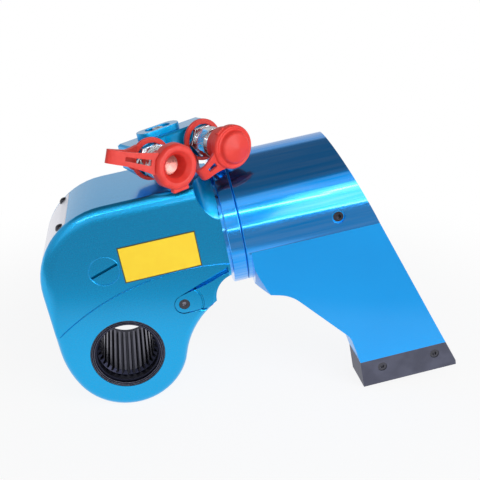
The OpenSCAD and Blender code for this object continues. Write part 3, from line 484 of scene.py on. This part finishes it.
def cut_crown(shape, first, rim_y):
    """Cuts the rounding of the near upper edge into rows, and its front end into short lengths."""
    for k in range(1, CROWN_ROWS):
        angle = first + (math.pi / 2 - first) * k / CROWN_ROWS
        level = SIDE_FACE_Y + EDGE_R * (1 - math.cos(angle))
        whole = shape.verts[:] + shape.edges[:] + shape.faces[:]
        bmesh.ops.bisect_plane(shape, geom=whole, plane_co=(0, level, 0), plane_no=(0, 1, 0))
    for level in CROWN_CUTS:
        strip = [
            f for f in shape.faces
            if f.calc_center_median().x < CROWN_CUTS_BEFORE_X
            and all(v.co.y < rim_y + SLIGHT for v in f.verts)
            and abs(f.normal.y) < SIDE_ON
        ]
        edges = dict.fromkeys(e for f in strip for e in f.edges)
        corners = dict.fromkeys(v for f in strip for v in f.verts)
        cut = strip + list(edges) + list(corners)
        bmesh.ops.bisect_plane(shape, geom=cut, plane_co=(0, 0, level), plane_no=(0, 0, 1))


def ease_crown(shape):
    """Widens the rounding of the near upper edge of the head, so that it runs into the set-back side."""
    bmesh.ops.transform(shape, matrix=TO_TOOL, verts=shape.verts)
    quarter = math.pi / 2
    first = math.acos(1 - (LABEL_FACE_Y - SIDE_FACE_Y) / EDGE_R)
    rim_y = SIDE_FACE_Y + EDGE_R
    cut_crown(shape, first, rim_y)
    rim = [
        (e.verts[0].co.xz, e.verts[1].co.xz) for e in shape.edges
        if all(abs(v.co.y - rim_y) < RIM_NEAR for v in e.verts) and e.calc_length() > SLIGHT
    ]
    least, most = CROWN_EASE
    for v in shape.verts:
        if v.co.z < CROWN_FROM[0] or not SIDE_FACE_Y < v.co.y < rim_y + TINY:
            continue
        angle = math.acos(1 - (v.co.y - SIDE_FACE_Y) / EDGE_R)
        foot = nearest(v.co.xz, rim)
        inset = v.co.xz - foot
        misfit = abs(inset.length - EDGE_R * (1 - math.sin(angle)))
        if misfit > RIM_MATCH or angle < first - SLIGHT or inset.length < TINY:
            continue
        share = smoothstep(*CROWN_FROM, v.co.z)
        turn = (angle - first) / (quarter - first) * quarter
        wide = least + (most - least) * smoothstep(CROWN_FROM[1], CROWN_FULL, v.co.z)
        reach = wide * (1 - math.sin(turn))
        depth = LABEL_FACE_Y + (rim_y - LABEL_FACE_Y) * (1 - math.cos(turn))
        moved = foot + inset.normalized() * (inset.length + (reach - inset.length) * share)
        v.co = (moved.x, v.co.y + (depth - v.co.y) * share, moved.y)
    bmesh.ops.transform(shape, matrix=TOOL, verts=shape.verts)


def finished(node, edge=0.0, join_flats=True, reshape=None):
    """A copy of a solid with joined faces, softened edges and even shading, in the solid's place."""
    made = piece(node + "_finished", nodes[node].data.copy())
    shape = bmesh.new()
    shape.from_mesh(made.data)
    bmesh.ops.remove_doubles(shape, verts=shape.verts, dist=MERGE)
    if join_flats:
        bmesh.ops.dissolve_limit(
            shape, angle_limit=FLAT_ANGLE, verts=shape.verts, edges=shape.edges, delimit={"NORMAL"}
        )
    if reshape:
        reshape(shape)
    shape.to_mesh(made.data)
    shape.free()
    if edge:
        soft = made.modifiers.new("soft_edges", "BEVEL")
        soft.width = edge / 1000
        soft.segments = 2
        soft.limit_method = "ANGLE"
        soft.angle_limit = SOFT_ANGLE
        baked(made)
    smooth(made)
    replaced(made, node)


finished("housing", reshape=ease_crown)
for name, edge in SOFT_EDGES.items():
    finished(name, edge)
finished("ratchet", RATCHET_EDGE, join_flats=False)


# Finishes, painted shade and painted highlights of single faces. Each test gets the centre of a face in the
# tool's axes, and the face

LAND_EDGE_DEPTH = 0.35
LAND_EDGE_SLANT = (0.9, 0.97)
CREST_DEPTH = 0.15
SLEEVE_SKIN = 0.25
UPWARD = 0.9
SIDEWAYS = 0.98


def from_pivot(p):
    return math.hypot(p.x - PIVOT[0], p.z - PIVOT[1])


def from_axis(p):
    return math.hypot(p.y, p.z - AXIS_Z)


def everywhere(p, face):
    return True


def on_top(p, face):
    return face.normal.z > UPWARD


def in_plug_slot(p, face):
    return PLUG_SLOT[0] < p.y - LABEL_FACE_Y < PLUG_SLOT[1]


def in_lever_groove(p, face):
    return p.y > SIDE_FACE_Y + GROOVE_DEPTH and LEVER_GROOVE[0] < from_pivot(p) < LEVER_GROOVE[1]


def in_screw_socket(p, face):
    return p.y > SIDE_FACE_Y + SOCKET_DEPTH and from_pivot(p) < SOCKET_CORE_R


def on_land_edge(p, face):
    """The narrow slanted edge that each land of the bushing turns towards the bore."""
    way = TO_TOOL.to_3x3() @ face.normal
    inward = p.x * way.x + p.z * way.z < 0
    slanted = LAND_EDGE_SLANT[0] < abs(face.normal.y) < LAND_EDGE_SLANT[1]
    return p.y < SIDE_FACE_Y + LAND_EDGE_DEPTH and slanted and inward


def on_crest(p, face):
    """The tips of the spline's teeth."""
    return math.hypot(p.x, p.z) < SPLINE_TIP_R + CREST_DEPTH


def on_sleeve(p, face):
    """The outside of the arm's sleeve."""
    return abs(from_axis(p) - SLEEVE_R) < SLEEVE_SKIN


def in_cove(p, face):
    """The cove at the rear upper corner of the head."""
    rear_top = p.x > HEAD_REAR - COVE_R and p.z > AXIS_Z
    return rear_top and abs(face.normal.y) < SIDEWAYS and from_axis(p) < COVE_OUTER_R


def dress(node, test, inside, outside=None):
    """Gives the faces of a finished piece that pass the test one finish, and the others another, if any."""
    mesh = bpy.data.objects[node + "_finished"].data
    for face in mesh.polygons:
        other = inside if test(TO_TOOL @ face.center, face) else outside
        if other:
            if other.name not in mesh.materials:
                mesh.materials.append(other)
            face.material_index = mesh.materials.find(other.name)


# Painted shade: dark teal in the access plug's slot and in the release lever's groove
dress("access_plug", in_plug_slot, PAINTED_SLOT_SHADE)
dress("release_lever", in_lever_groove, PAINTED_SLOT_SHADE)
# Painted light: a painted glint in the lever screw's socket, painted highlight lines on the near bushing's
# land edges and on the spline's crests, and painted shade over the rest of the near bushing and the ratchet
dress("lever_screw", in_screw_socket, PAINTED_GLINT)
dress("bushing_near", on_land_edge, PAINTED_GLINT, PAINTED_BORE_SHADE)
dress("ratchet", on_crest, PAINTED_CREST_HIGHLIGHT, PAINTED_BORE_SHADE)
dress("reaction_arm", on_sleeve, BLUE, MILLED_BLUE)
dress("end_cap", everywhere, MILLED_BLUE)
dress("swivel_block", on_top, GLOSS_TEAL, MILLED_TEAL)
dress("post_retainer", on_top, GLOSS_TEAL, MILLED_TEAL)
dress("housing", in_cove, MILLED_TEAL)


# Turned and moulded pieces

# Facets lie outside this share of a turned piece's radius, at this share of a full flat, a little swollen
FACETS_FROM = 0.85
FACET_SHARE = 0.65
FACET_SWELL = 1.02
COVER_SHARP_DEGREES = 40
STRAP_SHARP_DEGREES = 50
LIP_SHARP_DEGREES = 60


def rounded(corners, steps=4):
    """Points of a closed outline whose corners (x, y, size) are eased over the given size."""
    points = []
    for i, (x, y, size) in enumerate(corners):
        p = Vector((x, y))
        a = Vector(corners[i - 1][:2]) - p
        b = Vector(corners[(i + 1) % len(corners)][:2]) - p
        if not size:
            points.append(p)
            continue
        a *= min(size / a.length, 0.5)
        b *= min(size / b.length, 0.5)
        for k in range(steps + 1):
            t = k / steps
            points.append(p + a * (1 - t) ** 2 + b * t ** 2)
    return points


def turned(corners, segments=80, facets=0):
    """A solid turned about Z from an outline of (radius, height, ease) corners.

    Its widest part can have shallow facets.
    """
    shape = bmesh.new()
    rings = []
    widest = max(c[0] for c in corners)
    for p in rounded(corners):
        if p.x < 1e-6:
            rings.append([shape.verts.new((0, 0, p.y))])
            continue
        ring = []
        for k in range(segments):
            a = 2 * math.pi * k / segments
            r = p.x
            if facets and r > widest * FACETS_FROM:
                off = a % (2 * math.pi / facets) - math.pi / facets
                flat = min(1, math.cos(math.pi / facets) / math.cos(off) * FACET_SWELL)
                r *= 1 - FACET_SHARE + FACET_SHARE * flat
            ring.append(shape.verts.new((r * math.cos(a), r * math.sin(a), p.y)))
        rings.append(ring)
    for a, b in zip(rings, rings[1:] + rings[:1]):
        for i in range(segments):
            k = (i + 1) % segments
            corner = [a[i % len(a)], a[k % len(a)], b[k % len(b)], b[i % len(b)]]
            face = list(dict.fromkeys(corner))
            if len(face) > 2:
                shape.faces.new(face)
    bmesh.ops.recalc_face_normals(shape, faces=shape.faces)
    return shape


def settled(name, shape, place, *materials):
    """The shape as an object at the origin, with its place in its mesh."""
    mesh = bpy.data.meshes.new(name)
    shape.to_mesh(mesh)
    shape.free()
    mesh.transform(place)
    return piece(name, mesh, *materials)


def tab(shape, radius, direction, width, proud, low, high):
    """A small rounded finger tab on the rim of a cover."""
    root = 1.5
    ease = 0.7
    reach = Matrix.Translation((radius - root + proud / 2, 0, (low + high) / 2))
    size = Matrix.Diagonal((proud + 2 * root, width, high - low, 1))
    place = Matrix.Rotation(math.radians(direction), 4, "Z") @ reach @ size
    block = bmesh.ops.create_cube(shape, size=1, matrix=place)["verts"]
    edges = dict.fromkeys(e for v in block for e in v.link_edges)
    bmesh.ops.bevel(shape, geom=list(edges), offset=ease, segments=3, affect="EDGES", profile=0.5)


def dust_plug():
    """The plug of the socket: a faceted rim with a broad inner bevel, and a hollow nose."""
    end = COUPLER_LEN
    hollow_r = 7.8
    cone_foot = end - 7.4
    cone_top = end - 3.5
    shape = turned([
        (0, end - 9.4, 0), (8.9, end - 11.4, 0.8), (8.9, end + 0.4, 0.3), (PLUG_R, end + 0.4, 1.4),
        (PLUG_R, end + 8, 1.2), (15.4, end + 10.4, 1.2), (11.8, end + 10.4, 0.8), (8.5, end + 6.6, 1.0),
        (hollow_r, cone_top, 0.2), (0, cone_foot, 0),
    ], facets=10)
    for face in shape.faces:
        middle = face.calc_center_median()
        if cone_foot - 0.2 < middle.z < cone_top and middle.xy.length < hollow_r:
            face.material_index = 1
    tab(shape, PLUG_R, direction=-90, width=13, proud=1.8, low=end + 3, high=end + 8)
    made = settled("dust_plug_moulded", shape, on_coupling("plug"), RED, CORE)
    replaced(smooth(made, COVER_SHARP_DEGREES), "dust_plug")


def dust_cap():
    """The cap of the nipple: a flange, a groove and a shallow cone."""
    end = NIPPLE_LEN + 5
    shape = turned([
        (0, end + 6.2, 0), (1.5, end + 6.1, 1.2), (11.4, end + 3.6, 1.8), (12.4, end + 0.2, 0.6),
        (13.6, end - 0.6, 0.6), (15, end + 0.2, 0.8), (CAP_R, end - 1.2, 1.0), (CAP_R, end - 6.4, 0.8),
        (14, end - 7.1, 0.5), (13.8, end - 16.8, 0.6), (10.7, end - 16.8, 0.4), (10.7, end - 0.5, 0.3),
        (0, end - 0.5, 0),
    ])
    tab(shape, CAP_R, direction=118, width=7, proud=0.9, low=end - 6, high=end - 1.5)
    made = settled("dust_cap_moulded", shape, on_coupling("cap"), RED)
    replaced(smooth(made, COVER_SHARP_DEGREES), "dust_cap")


def along(path, rows):
    """Even steps along a path, as (distance, point)."""
    lengths = [0.0]
    for a, b in zip(path, path[1:]):
        lengths.append(lengths[-1] + (b - a).length)
    for i in range(rows + 1):
        far = lengths[-1] * i / rows
        k = max(j for j in range(len(path) - 1) if lengths[j] <= far + 1e-9)
        yield far, path[k].lerp(path[k + 1], (far - lengths[k]) / (lengths[k + 1] - lengths[k]))


def strap_band(path, first):
    """The middle surface of a strap along a path whose first leg, with the two arms, has the given length."""
    steps = list(along(path, BAND_ROWS))
    total = steps[-1][0]
    shape = bmesh.new()
    grid = []
    for far, p in steps:
        flare = max(0, 1 - far / (first * FLARE_SHARE)) ** 1.6
        home = max(0, 1 - (total - far) / END_LEN) ** 1.4
        half = BAND_HALF + ARMS_ADD * flare + END_ADD * home
        gap = GAP_HALF + GAP_ADD * flare
        across = [-half, -(half + gap) / 2, -gap, gap, (half + gap) / 2, half]
        grid.append((far, [shape.verts.new((p.x, w, p.y)) for w in across]))
    for (far, a), (_, b) in zip(grid, grid[1:]):
        for j in range(5):
            between_arms = j == 2 and GAP_FROM < far < first * GAP_SHARE
            if not between_arms:
                shape.faces.new((a[j], a[j + 1], b[j + 1], b[j]))
    bmesh.ops.recalc_face_normals(shape, faces=shape.faces)
    return shape


def strap_loop(direction):
    """The ring of a strap, with its outside widened and shifted a little to one side."""
    inner, outer, low, high = STRAP_RING
    widen = 0.7
    ring = turned([(inner, low, 0.6), (outer, low, 0.8), (outer, high, 0.8), (inner, high, 0.6)])
    shift = Matrix.Rotation(math.radians(-direction), 4, "Z") @ Vector((0, widen, 0))
    for v in ring.verts:
        if v.co.xy.length > (inner + outer) / 2:
            wide = v.co.xy.normalized() * widen
            v.co += Vector((wide.x, wide.y, 0)) + shift
    loop = bpy.data.meshes.new("loop")
    ring.to_mesh(loop)
    ring.free()
    return loop


def strap(node, side, direction, rim, height, fold):
    """A moulded strap: two arms from the cover's rim join in a band.

    The band folds back to a ring behind the hexagon.
    """
    inner, outer, low, high = STRAP_RING
    start = Vector((rim - STRAP_ROOT, height))
    back = Vector(((inner + outer) / 2, (low + high) / 2))
    path = rounded([(*start, 0), (*fold, FOLD_EASE), (*back, 0)], steps=12)
    shape = strap_band(path, (Vector(fold) - start).length)
    band = settled(node + "_moulded", shape, Matrix.Identity(4), RED)
    wall = band.modifiers.new("wall", "SOLIDIFY")
    wall.thickness = STRAP_THICK
    wall.offset = 0
    wall.edge_crease_rim = wall.edge_crease_outer = wall.edge_crease_inner = 0.6
    soft = band.modifiers.new("soft", "SUBSURF")
    soft.levels = soft.render_levels = 2
    baked(band)
    loop = strap_loop(direction)
    joined = bmesh.new()
    joined.from_mesh(band.data)
    joined.from_mesh(loop)
    bpy.data.meshes.remove(loop)
    joined.to_mesh(band.data)
    joined.free()
    band.data.transform(on_coupling(side) @ Matrix.Rotation(math.radians(direction), 4, "Z"))
    smooth(band, STRAP_SHARP_DEGREES)
    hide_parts(node)
    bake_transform(band)


def ridge_tree():
    """Bars of diamond section spread round a circle about Z, sunk to half their width."""
    tree = bpy.data.node_groups.new("ridges", "GeometryNodeTree")
    face = tree.interface
    for name, kind, start in (
        ("Count", "NodeSocketInt", 48),
        ("Radius", "NodeSocketFloat", 10.0),
        ("Width", "NodeSocketFloat", 0.8),
        ("Length", "NodeSocketFloat", 6.0),
        ("Height", "NodeSocketFloat", 0.0),
    ):
        face.new_socket(name, in_out="INPUT", socket_type=kind).default_value = start
    face.new_socket("Material", in_out="INPUT", socket_type="NodeSocketMaterial")
    face.new_socket("Geometry", in_out="OUTPUT", socket_type="NodeSocketGeometry")

    def add(kind, links=(), **settings):
        made = tree.nodes.new(kind)
        for key, value in settings.items():
            setattr(made, key, value)
        for key, value in dict(links).items():
            if hasattr(value, "is_output"):
                tree.links.new(value, made.inputs[key])
            else:
                made.inputs[key].default_value = value
        return made

    given = add("NodeGroupInput").outputs
    circle = add("GeometryNodeMeshCircle", {"Vertices": given["Count"], "Radius": given["Radius"]})
    bar_size = add("ShaderNodeCombineXYZ", {"X": given["Width"], "Y": given["Width"], "Z": given["Length"]})
    bar = add("GeometryNodeMeshCube", {"Size": bar_size.outputs[0]})
    on_edge = add("GeometryNodeTransform", {"Geometry": bar.outputs[0], "Rotation": (0, 0, math.pi / 4)})
    place = add("GeometryNodeInputPosition")
    facing = add("FunctionNodeAlignRotationToVector", {"Vector": place.outputs[0]}, axis="X", pivot_axis="Z")
    spread = add("GeometryNodeInstanceOnPoints", {
        "Points": circle.outputs[0], "Instance": on_edge.outputs[0], "Rotation": facing.outputs[0],
    })
    lift = add("ShaderNodeCombineXYZ", {"Z": given["Height"]})
    raised = add("GeometryNodeTransform", {"Geometry": spread.outputs[0], "Translation": lift.outputs[0]})
    real = add("GeometryNodeRealizeInstances", {"Geometry": raised.outputs[0]})
    painted = add("GeometryNodeSetMaterial", {"Geometry": real.outputs[0], "Material": given["Material"]})
    out = add("NodeGroupOutput")
    tree.links.new(painted.outputs[0], out.inputs[0])
    return tree


RIDGES = ridge_tree()


def ridges(name, place, body, slot, material, **sizes):
    """A ring of ridges made by the tree, as a plain mesh on a body."""
    made = piece(name, bpy.data.meshes.new(name))
    grow = made.modifiers.new("ridges", "NODES")
    grow.node_group = RIDGES
    sizes["Material"] = material
    for item in RIDGES.interface.items_tree:
        if item.in_out == "INPUT" and item.name in sizes:
            grow[item.identifier] = sizes[item.name]
    baked(made)
    made.data.transform(place)
    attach(made, body)


dust_plug()
dust_cap()
ridges(
    "coupler_knurl", on_coupling("cap"), "swivel", "coupler_chrome", CHROME,
    Count=56, Radius=11.45, Width=0.9, Length=9.0, Height=19.0,
)
ridges(
    "sleeve_knurl", on_coupling("plug"), "swivel", "coupler_chrome", CHROME,
    Count=64, Radius=12.95, Width=0.9, Length=7.0, Height=29.0,
)
strap("plug_strap", "plug", direction=155, rim=PLUG_R, height=COUPLER_LEN + 5, fold=(51, 26))
strap("cap_strap", "cap", direction=207, rim=CAP_R, height=NIPPLE_LEN + 1.5, fold=(33, 41))


def plug_lip():
    """A fine raised lip round the slotted plug."""
    x, z, r = ACCESS_PLUG
    outline = [
        (r - 0.1, -0.3, 0), (r + 0.9, -0.3, 0), (r + 0.8, 0.1, 0.4), (r + 0.4, 0.35, 0.4), (r, 0.1, 0.3),
    ]
    place = TOOL @ Matrix.Translation((x, LABEL_FACE_Y, z)) @ Matrix.Rotation(math.radians(90), 4, "X")
    made = settled("access_plug_lip", turned(outline, segments=120), place, TEAL)
    smooth(made, LIP_SHARP_DEGREES)
    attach(made, "housing")


def label_plate():
    """A thin foil plate with a printed border, on the set-back side of the head."""
    shape = bmesh.new()
    middle = Vector((sum(p[0] for p in LABEL) / 4, sum(p[1] for p in LABEL) / 4))

    def ring(inset, y):
        made = []
        for p in LABEL:
            side = Vector(p) - middle
            way = Vector((math.copysign(1, side.x), math.copysign(1, side.y)))
            q = Vector(p) - way * inset
            made.append(shape.verts.new((q.x, y, q.y)))
        return made

    front = LABEL_FACE_Y - LABEL_THICK
    rings = [
        ring(0, LABEL_FACE_Y), ring(0, front + LABEL_BEVEL),
        ring(LABEL_BEVEL, front), ring(LABEL_BORDER, front),
    ]
    for a, b in zip(rings, rings[1:]):
        for i in range(4):
            k = (i + 1) % 4
            shape.faces.new((a[i], a[k], b[k], b[i])).material_index = 1
    shape.faces.new(rings[-1])
    shape.faces.new(rings[0][::-1])
    bmesh.ops.recalc_face_normals(shape, faces=shape.faces)
    made = settled("label_plate", shape, TOOL, YELLOW, INK)
    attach(made, "housing")


plug_lip()
label_plate()


# Stage, lights and camera, in metres

FLOOR_Z = -0.048
# Share of the floor's own light near the tool, where the rest takes the shadow,
# and the distances over which that share grows to 1
FLOOR_GLOW = 0.88
FLOOR_GLOW_TO_FULL = (0.2, 0.5)
SHADOW_MIDDLE = (0.1, 0.02)
# White paper as reflections show it: its front edge, the slant of that edge and where it slants,
# half its soft width, and the level of the room in front
PAPER_FRONT = -0.235
PAPER_SLANT = -0.075
PAPER_SLANT_FROM_TO = (0.0, 0.3)
PAPER_SOFT = 0.03
ROOM_LEVEL = 0.45
# Levels of the surroundings: all round, the wall behind and the glow in front. Directions are parts of 1:
# where front turns into behind, and the heights at which the wall and the glow fade
ROUND_LEVEL = 0.2
WALL_LEVEL = 0.48
FRONT_LEVEL = 0.45
TURN_BEHIND = (-0.1, 0.15)
WALL_FADES = (0.56, 0.68)
FRONT_FADES = (0.5, 0.92)

# Softboxes: place, width and height, and power in watts
LIT_POINT = Vector((0.12, 0, 0.1))
SOFTBOXES = {
    "left_softbox": ((-0.45, -1.25, 0.53), (1.3, 0.85), 1),
    "middle_softbox": ((0.5, -1.2, 0.51), (0.6, 0.85), 2.7),
    "right_softbox": ((1.2, -1.08, 0.5), (0.8, 0.9), 7.2),
    "upper_strip": ((0.9, -1.1, 0.87), (1.4, 0.07), 2.4),
    "crown_strip": ((-0.2, -1.2, 0.7), (1.1, 0.05), 1.3),
    "upper_glow": ((0.6, -0.9, 1.2), (2.2, 0.4), 1.4),
    "lower_strip": ((0.6, -1.15, 0.1), (1.2, 0.04), 0.8),
}

CAMERA_PLACE = (0.00196, -0.60872, 0.31477)
CAMERA_RIGHT = (0.9881, -0.1537, 0)
CAMERA_AHEAD = (0.1431, 0.9200, -0.3647)
CAMERA_SENSOR = 36
CAMERA_LENS = 60


def paper_floor():
    """White paper, with a darker room in front of it that shows in reflections only."""
    mesh = bpy.data.meshes.new("floor")
    corners = [(-9, -9, FLOOR_Z), (9, -9, FLOOR_Z), (9, 16, FLOOR_Z), (-9, 16, FLOOR_Z)]
    mesh.from_pydata(corners, [], [(0, 1, 2, 3)])
    paper = bpy.data.materials.new("white_paper")
    ground = piece("floor", mesh, paper)
    t = Tree(paper)
    camera_ray = t.ray("Camera")
    seen = (camera_ray + t.ray("Glossy") + t.ray("Transmission")).clamp()
    where = t.node("ShaderNodeTexCoord", {}, {}, "Object")
    x = t.part(where, "X")
    y = t.part(where, "Y")
    edge = y + x.ramp(*PAPER_SLANT_FROM_TO) * PAPER_SLANT
    on_paper = edge.ramp(PAPER_FRONT - PAPER_SOFT, PAPER_FRONT + PAPER_SOFT)
    bright = camera_ray + (1 - camera_ray) * (ROOM_LEVEL + on_paper * (1 - ROOM_LEVEL))
    away = ((x - SHADOW_MIDDLE[0]) ** 2 + (y - SHADOW_MIDDLE[1]) ** 2) ** 0.5
    share = seen * (FLOOR_GLOW + away.ramp(*FLOOR_GLOW_TO_FULL) * (1 - FLOOR_GLOW))
    matt = t.node("ShaderNodeBsdfDiffuse", {}, {"Color": (0.9, 0.9, 0.92, 1)})
    glow = t.node("ShaderNodeEmission", {}, {"Color": (1, 1, 1, 1), "Strength": bright})
    surface = t.node("ShaderNodeMixShader", {}, {0: share, 1: matt, 2: glow})
    t.node("ShaderNodeOutputMaterial", {}, {"Surface": surface})


def surroundings():
    """A plain room, white to the camera, with a paler wall behind the tool and a glow in front."""
    world = bpy.data.worlds.new("studio")
    bpy.context.scene.world = world
    t = Tree(world)
    camera_ray = t.ray("Camera")
    way = t.node("ShaderNodeTexCoord", {}, {}, "Generated")
    height = t.part(way, "Z")
    behind = t.part(way, "Y").ramp(*TURN_BEHIND)
    wall = (1 - height.ramp(*WALL_FADES)) * WALL_LEVEL
    front = (1 - height.ramp(*FRONT_FADES)) * FRONT_LEVEL
    level = ROUND_LEVEL + behind * wall + (1 - behind) * front
    level = camera_ray + (1 - camera_ray) * level
    surface = t.node("ShaderNodeBackground", {}, {"Color": (0.97, 0.98, 1.0, 1), "Strength": level})
    t.node("ShaderNodeOutputWorld", {}, {"Surface": surface})


def softbox(name, place, size, power):
    """A rectangle of light aimed at the middle of the tool."""
    data = bpy.data.lights.new(name, "AREA")
    data.shape = "RECTANGLE"
    data.size, data.size_y = size
    data.energy = power
    lamp = bpy.data.objects.new(name, data)
    lamp.location = place
    lamp.rotation_euler = (LIT_POINT - Vector(place)).to_track_quat("-Z", "Y").to_euler()
    lamp.visible_camera = False
    bpy.context.scene.collection.objects.link(lamp)


def camera():
    data = bpy.data.cameras.new("camera")
    data.sensor_width = CAMERA_SENSOR
    data.lens = CAMERA_LENS
    made = bpy.data.objects.new("camera", data)
    right = Vector(CAMERA_RIGHT).normalized()
    ahead = Vector(CAMERA_AHEAD).normalized()
    turn = Matrix((right, right.cross(ahead), -ahead)).transposed().to_4x4()
    made.matrix_world = Matrix.Translation(CAMERA_PLACE) @ turn
    bpy.context.scene.collection.objects.link(made)
    bpy.context.scene.camera = made


paper_floor()
surroundings()
for name, (place, size, power) in SOFTBOXES.items():
    softbox(name, place, size, power)
camera()
bpy.context.scene.view_settings.view_transform = "Standard"
bpy.context.view_layer.update()
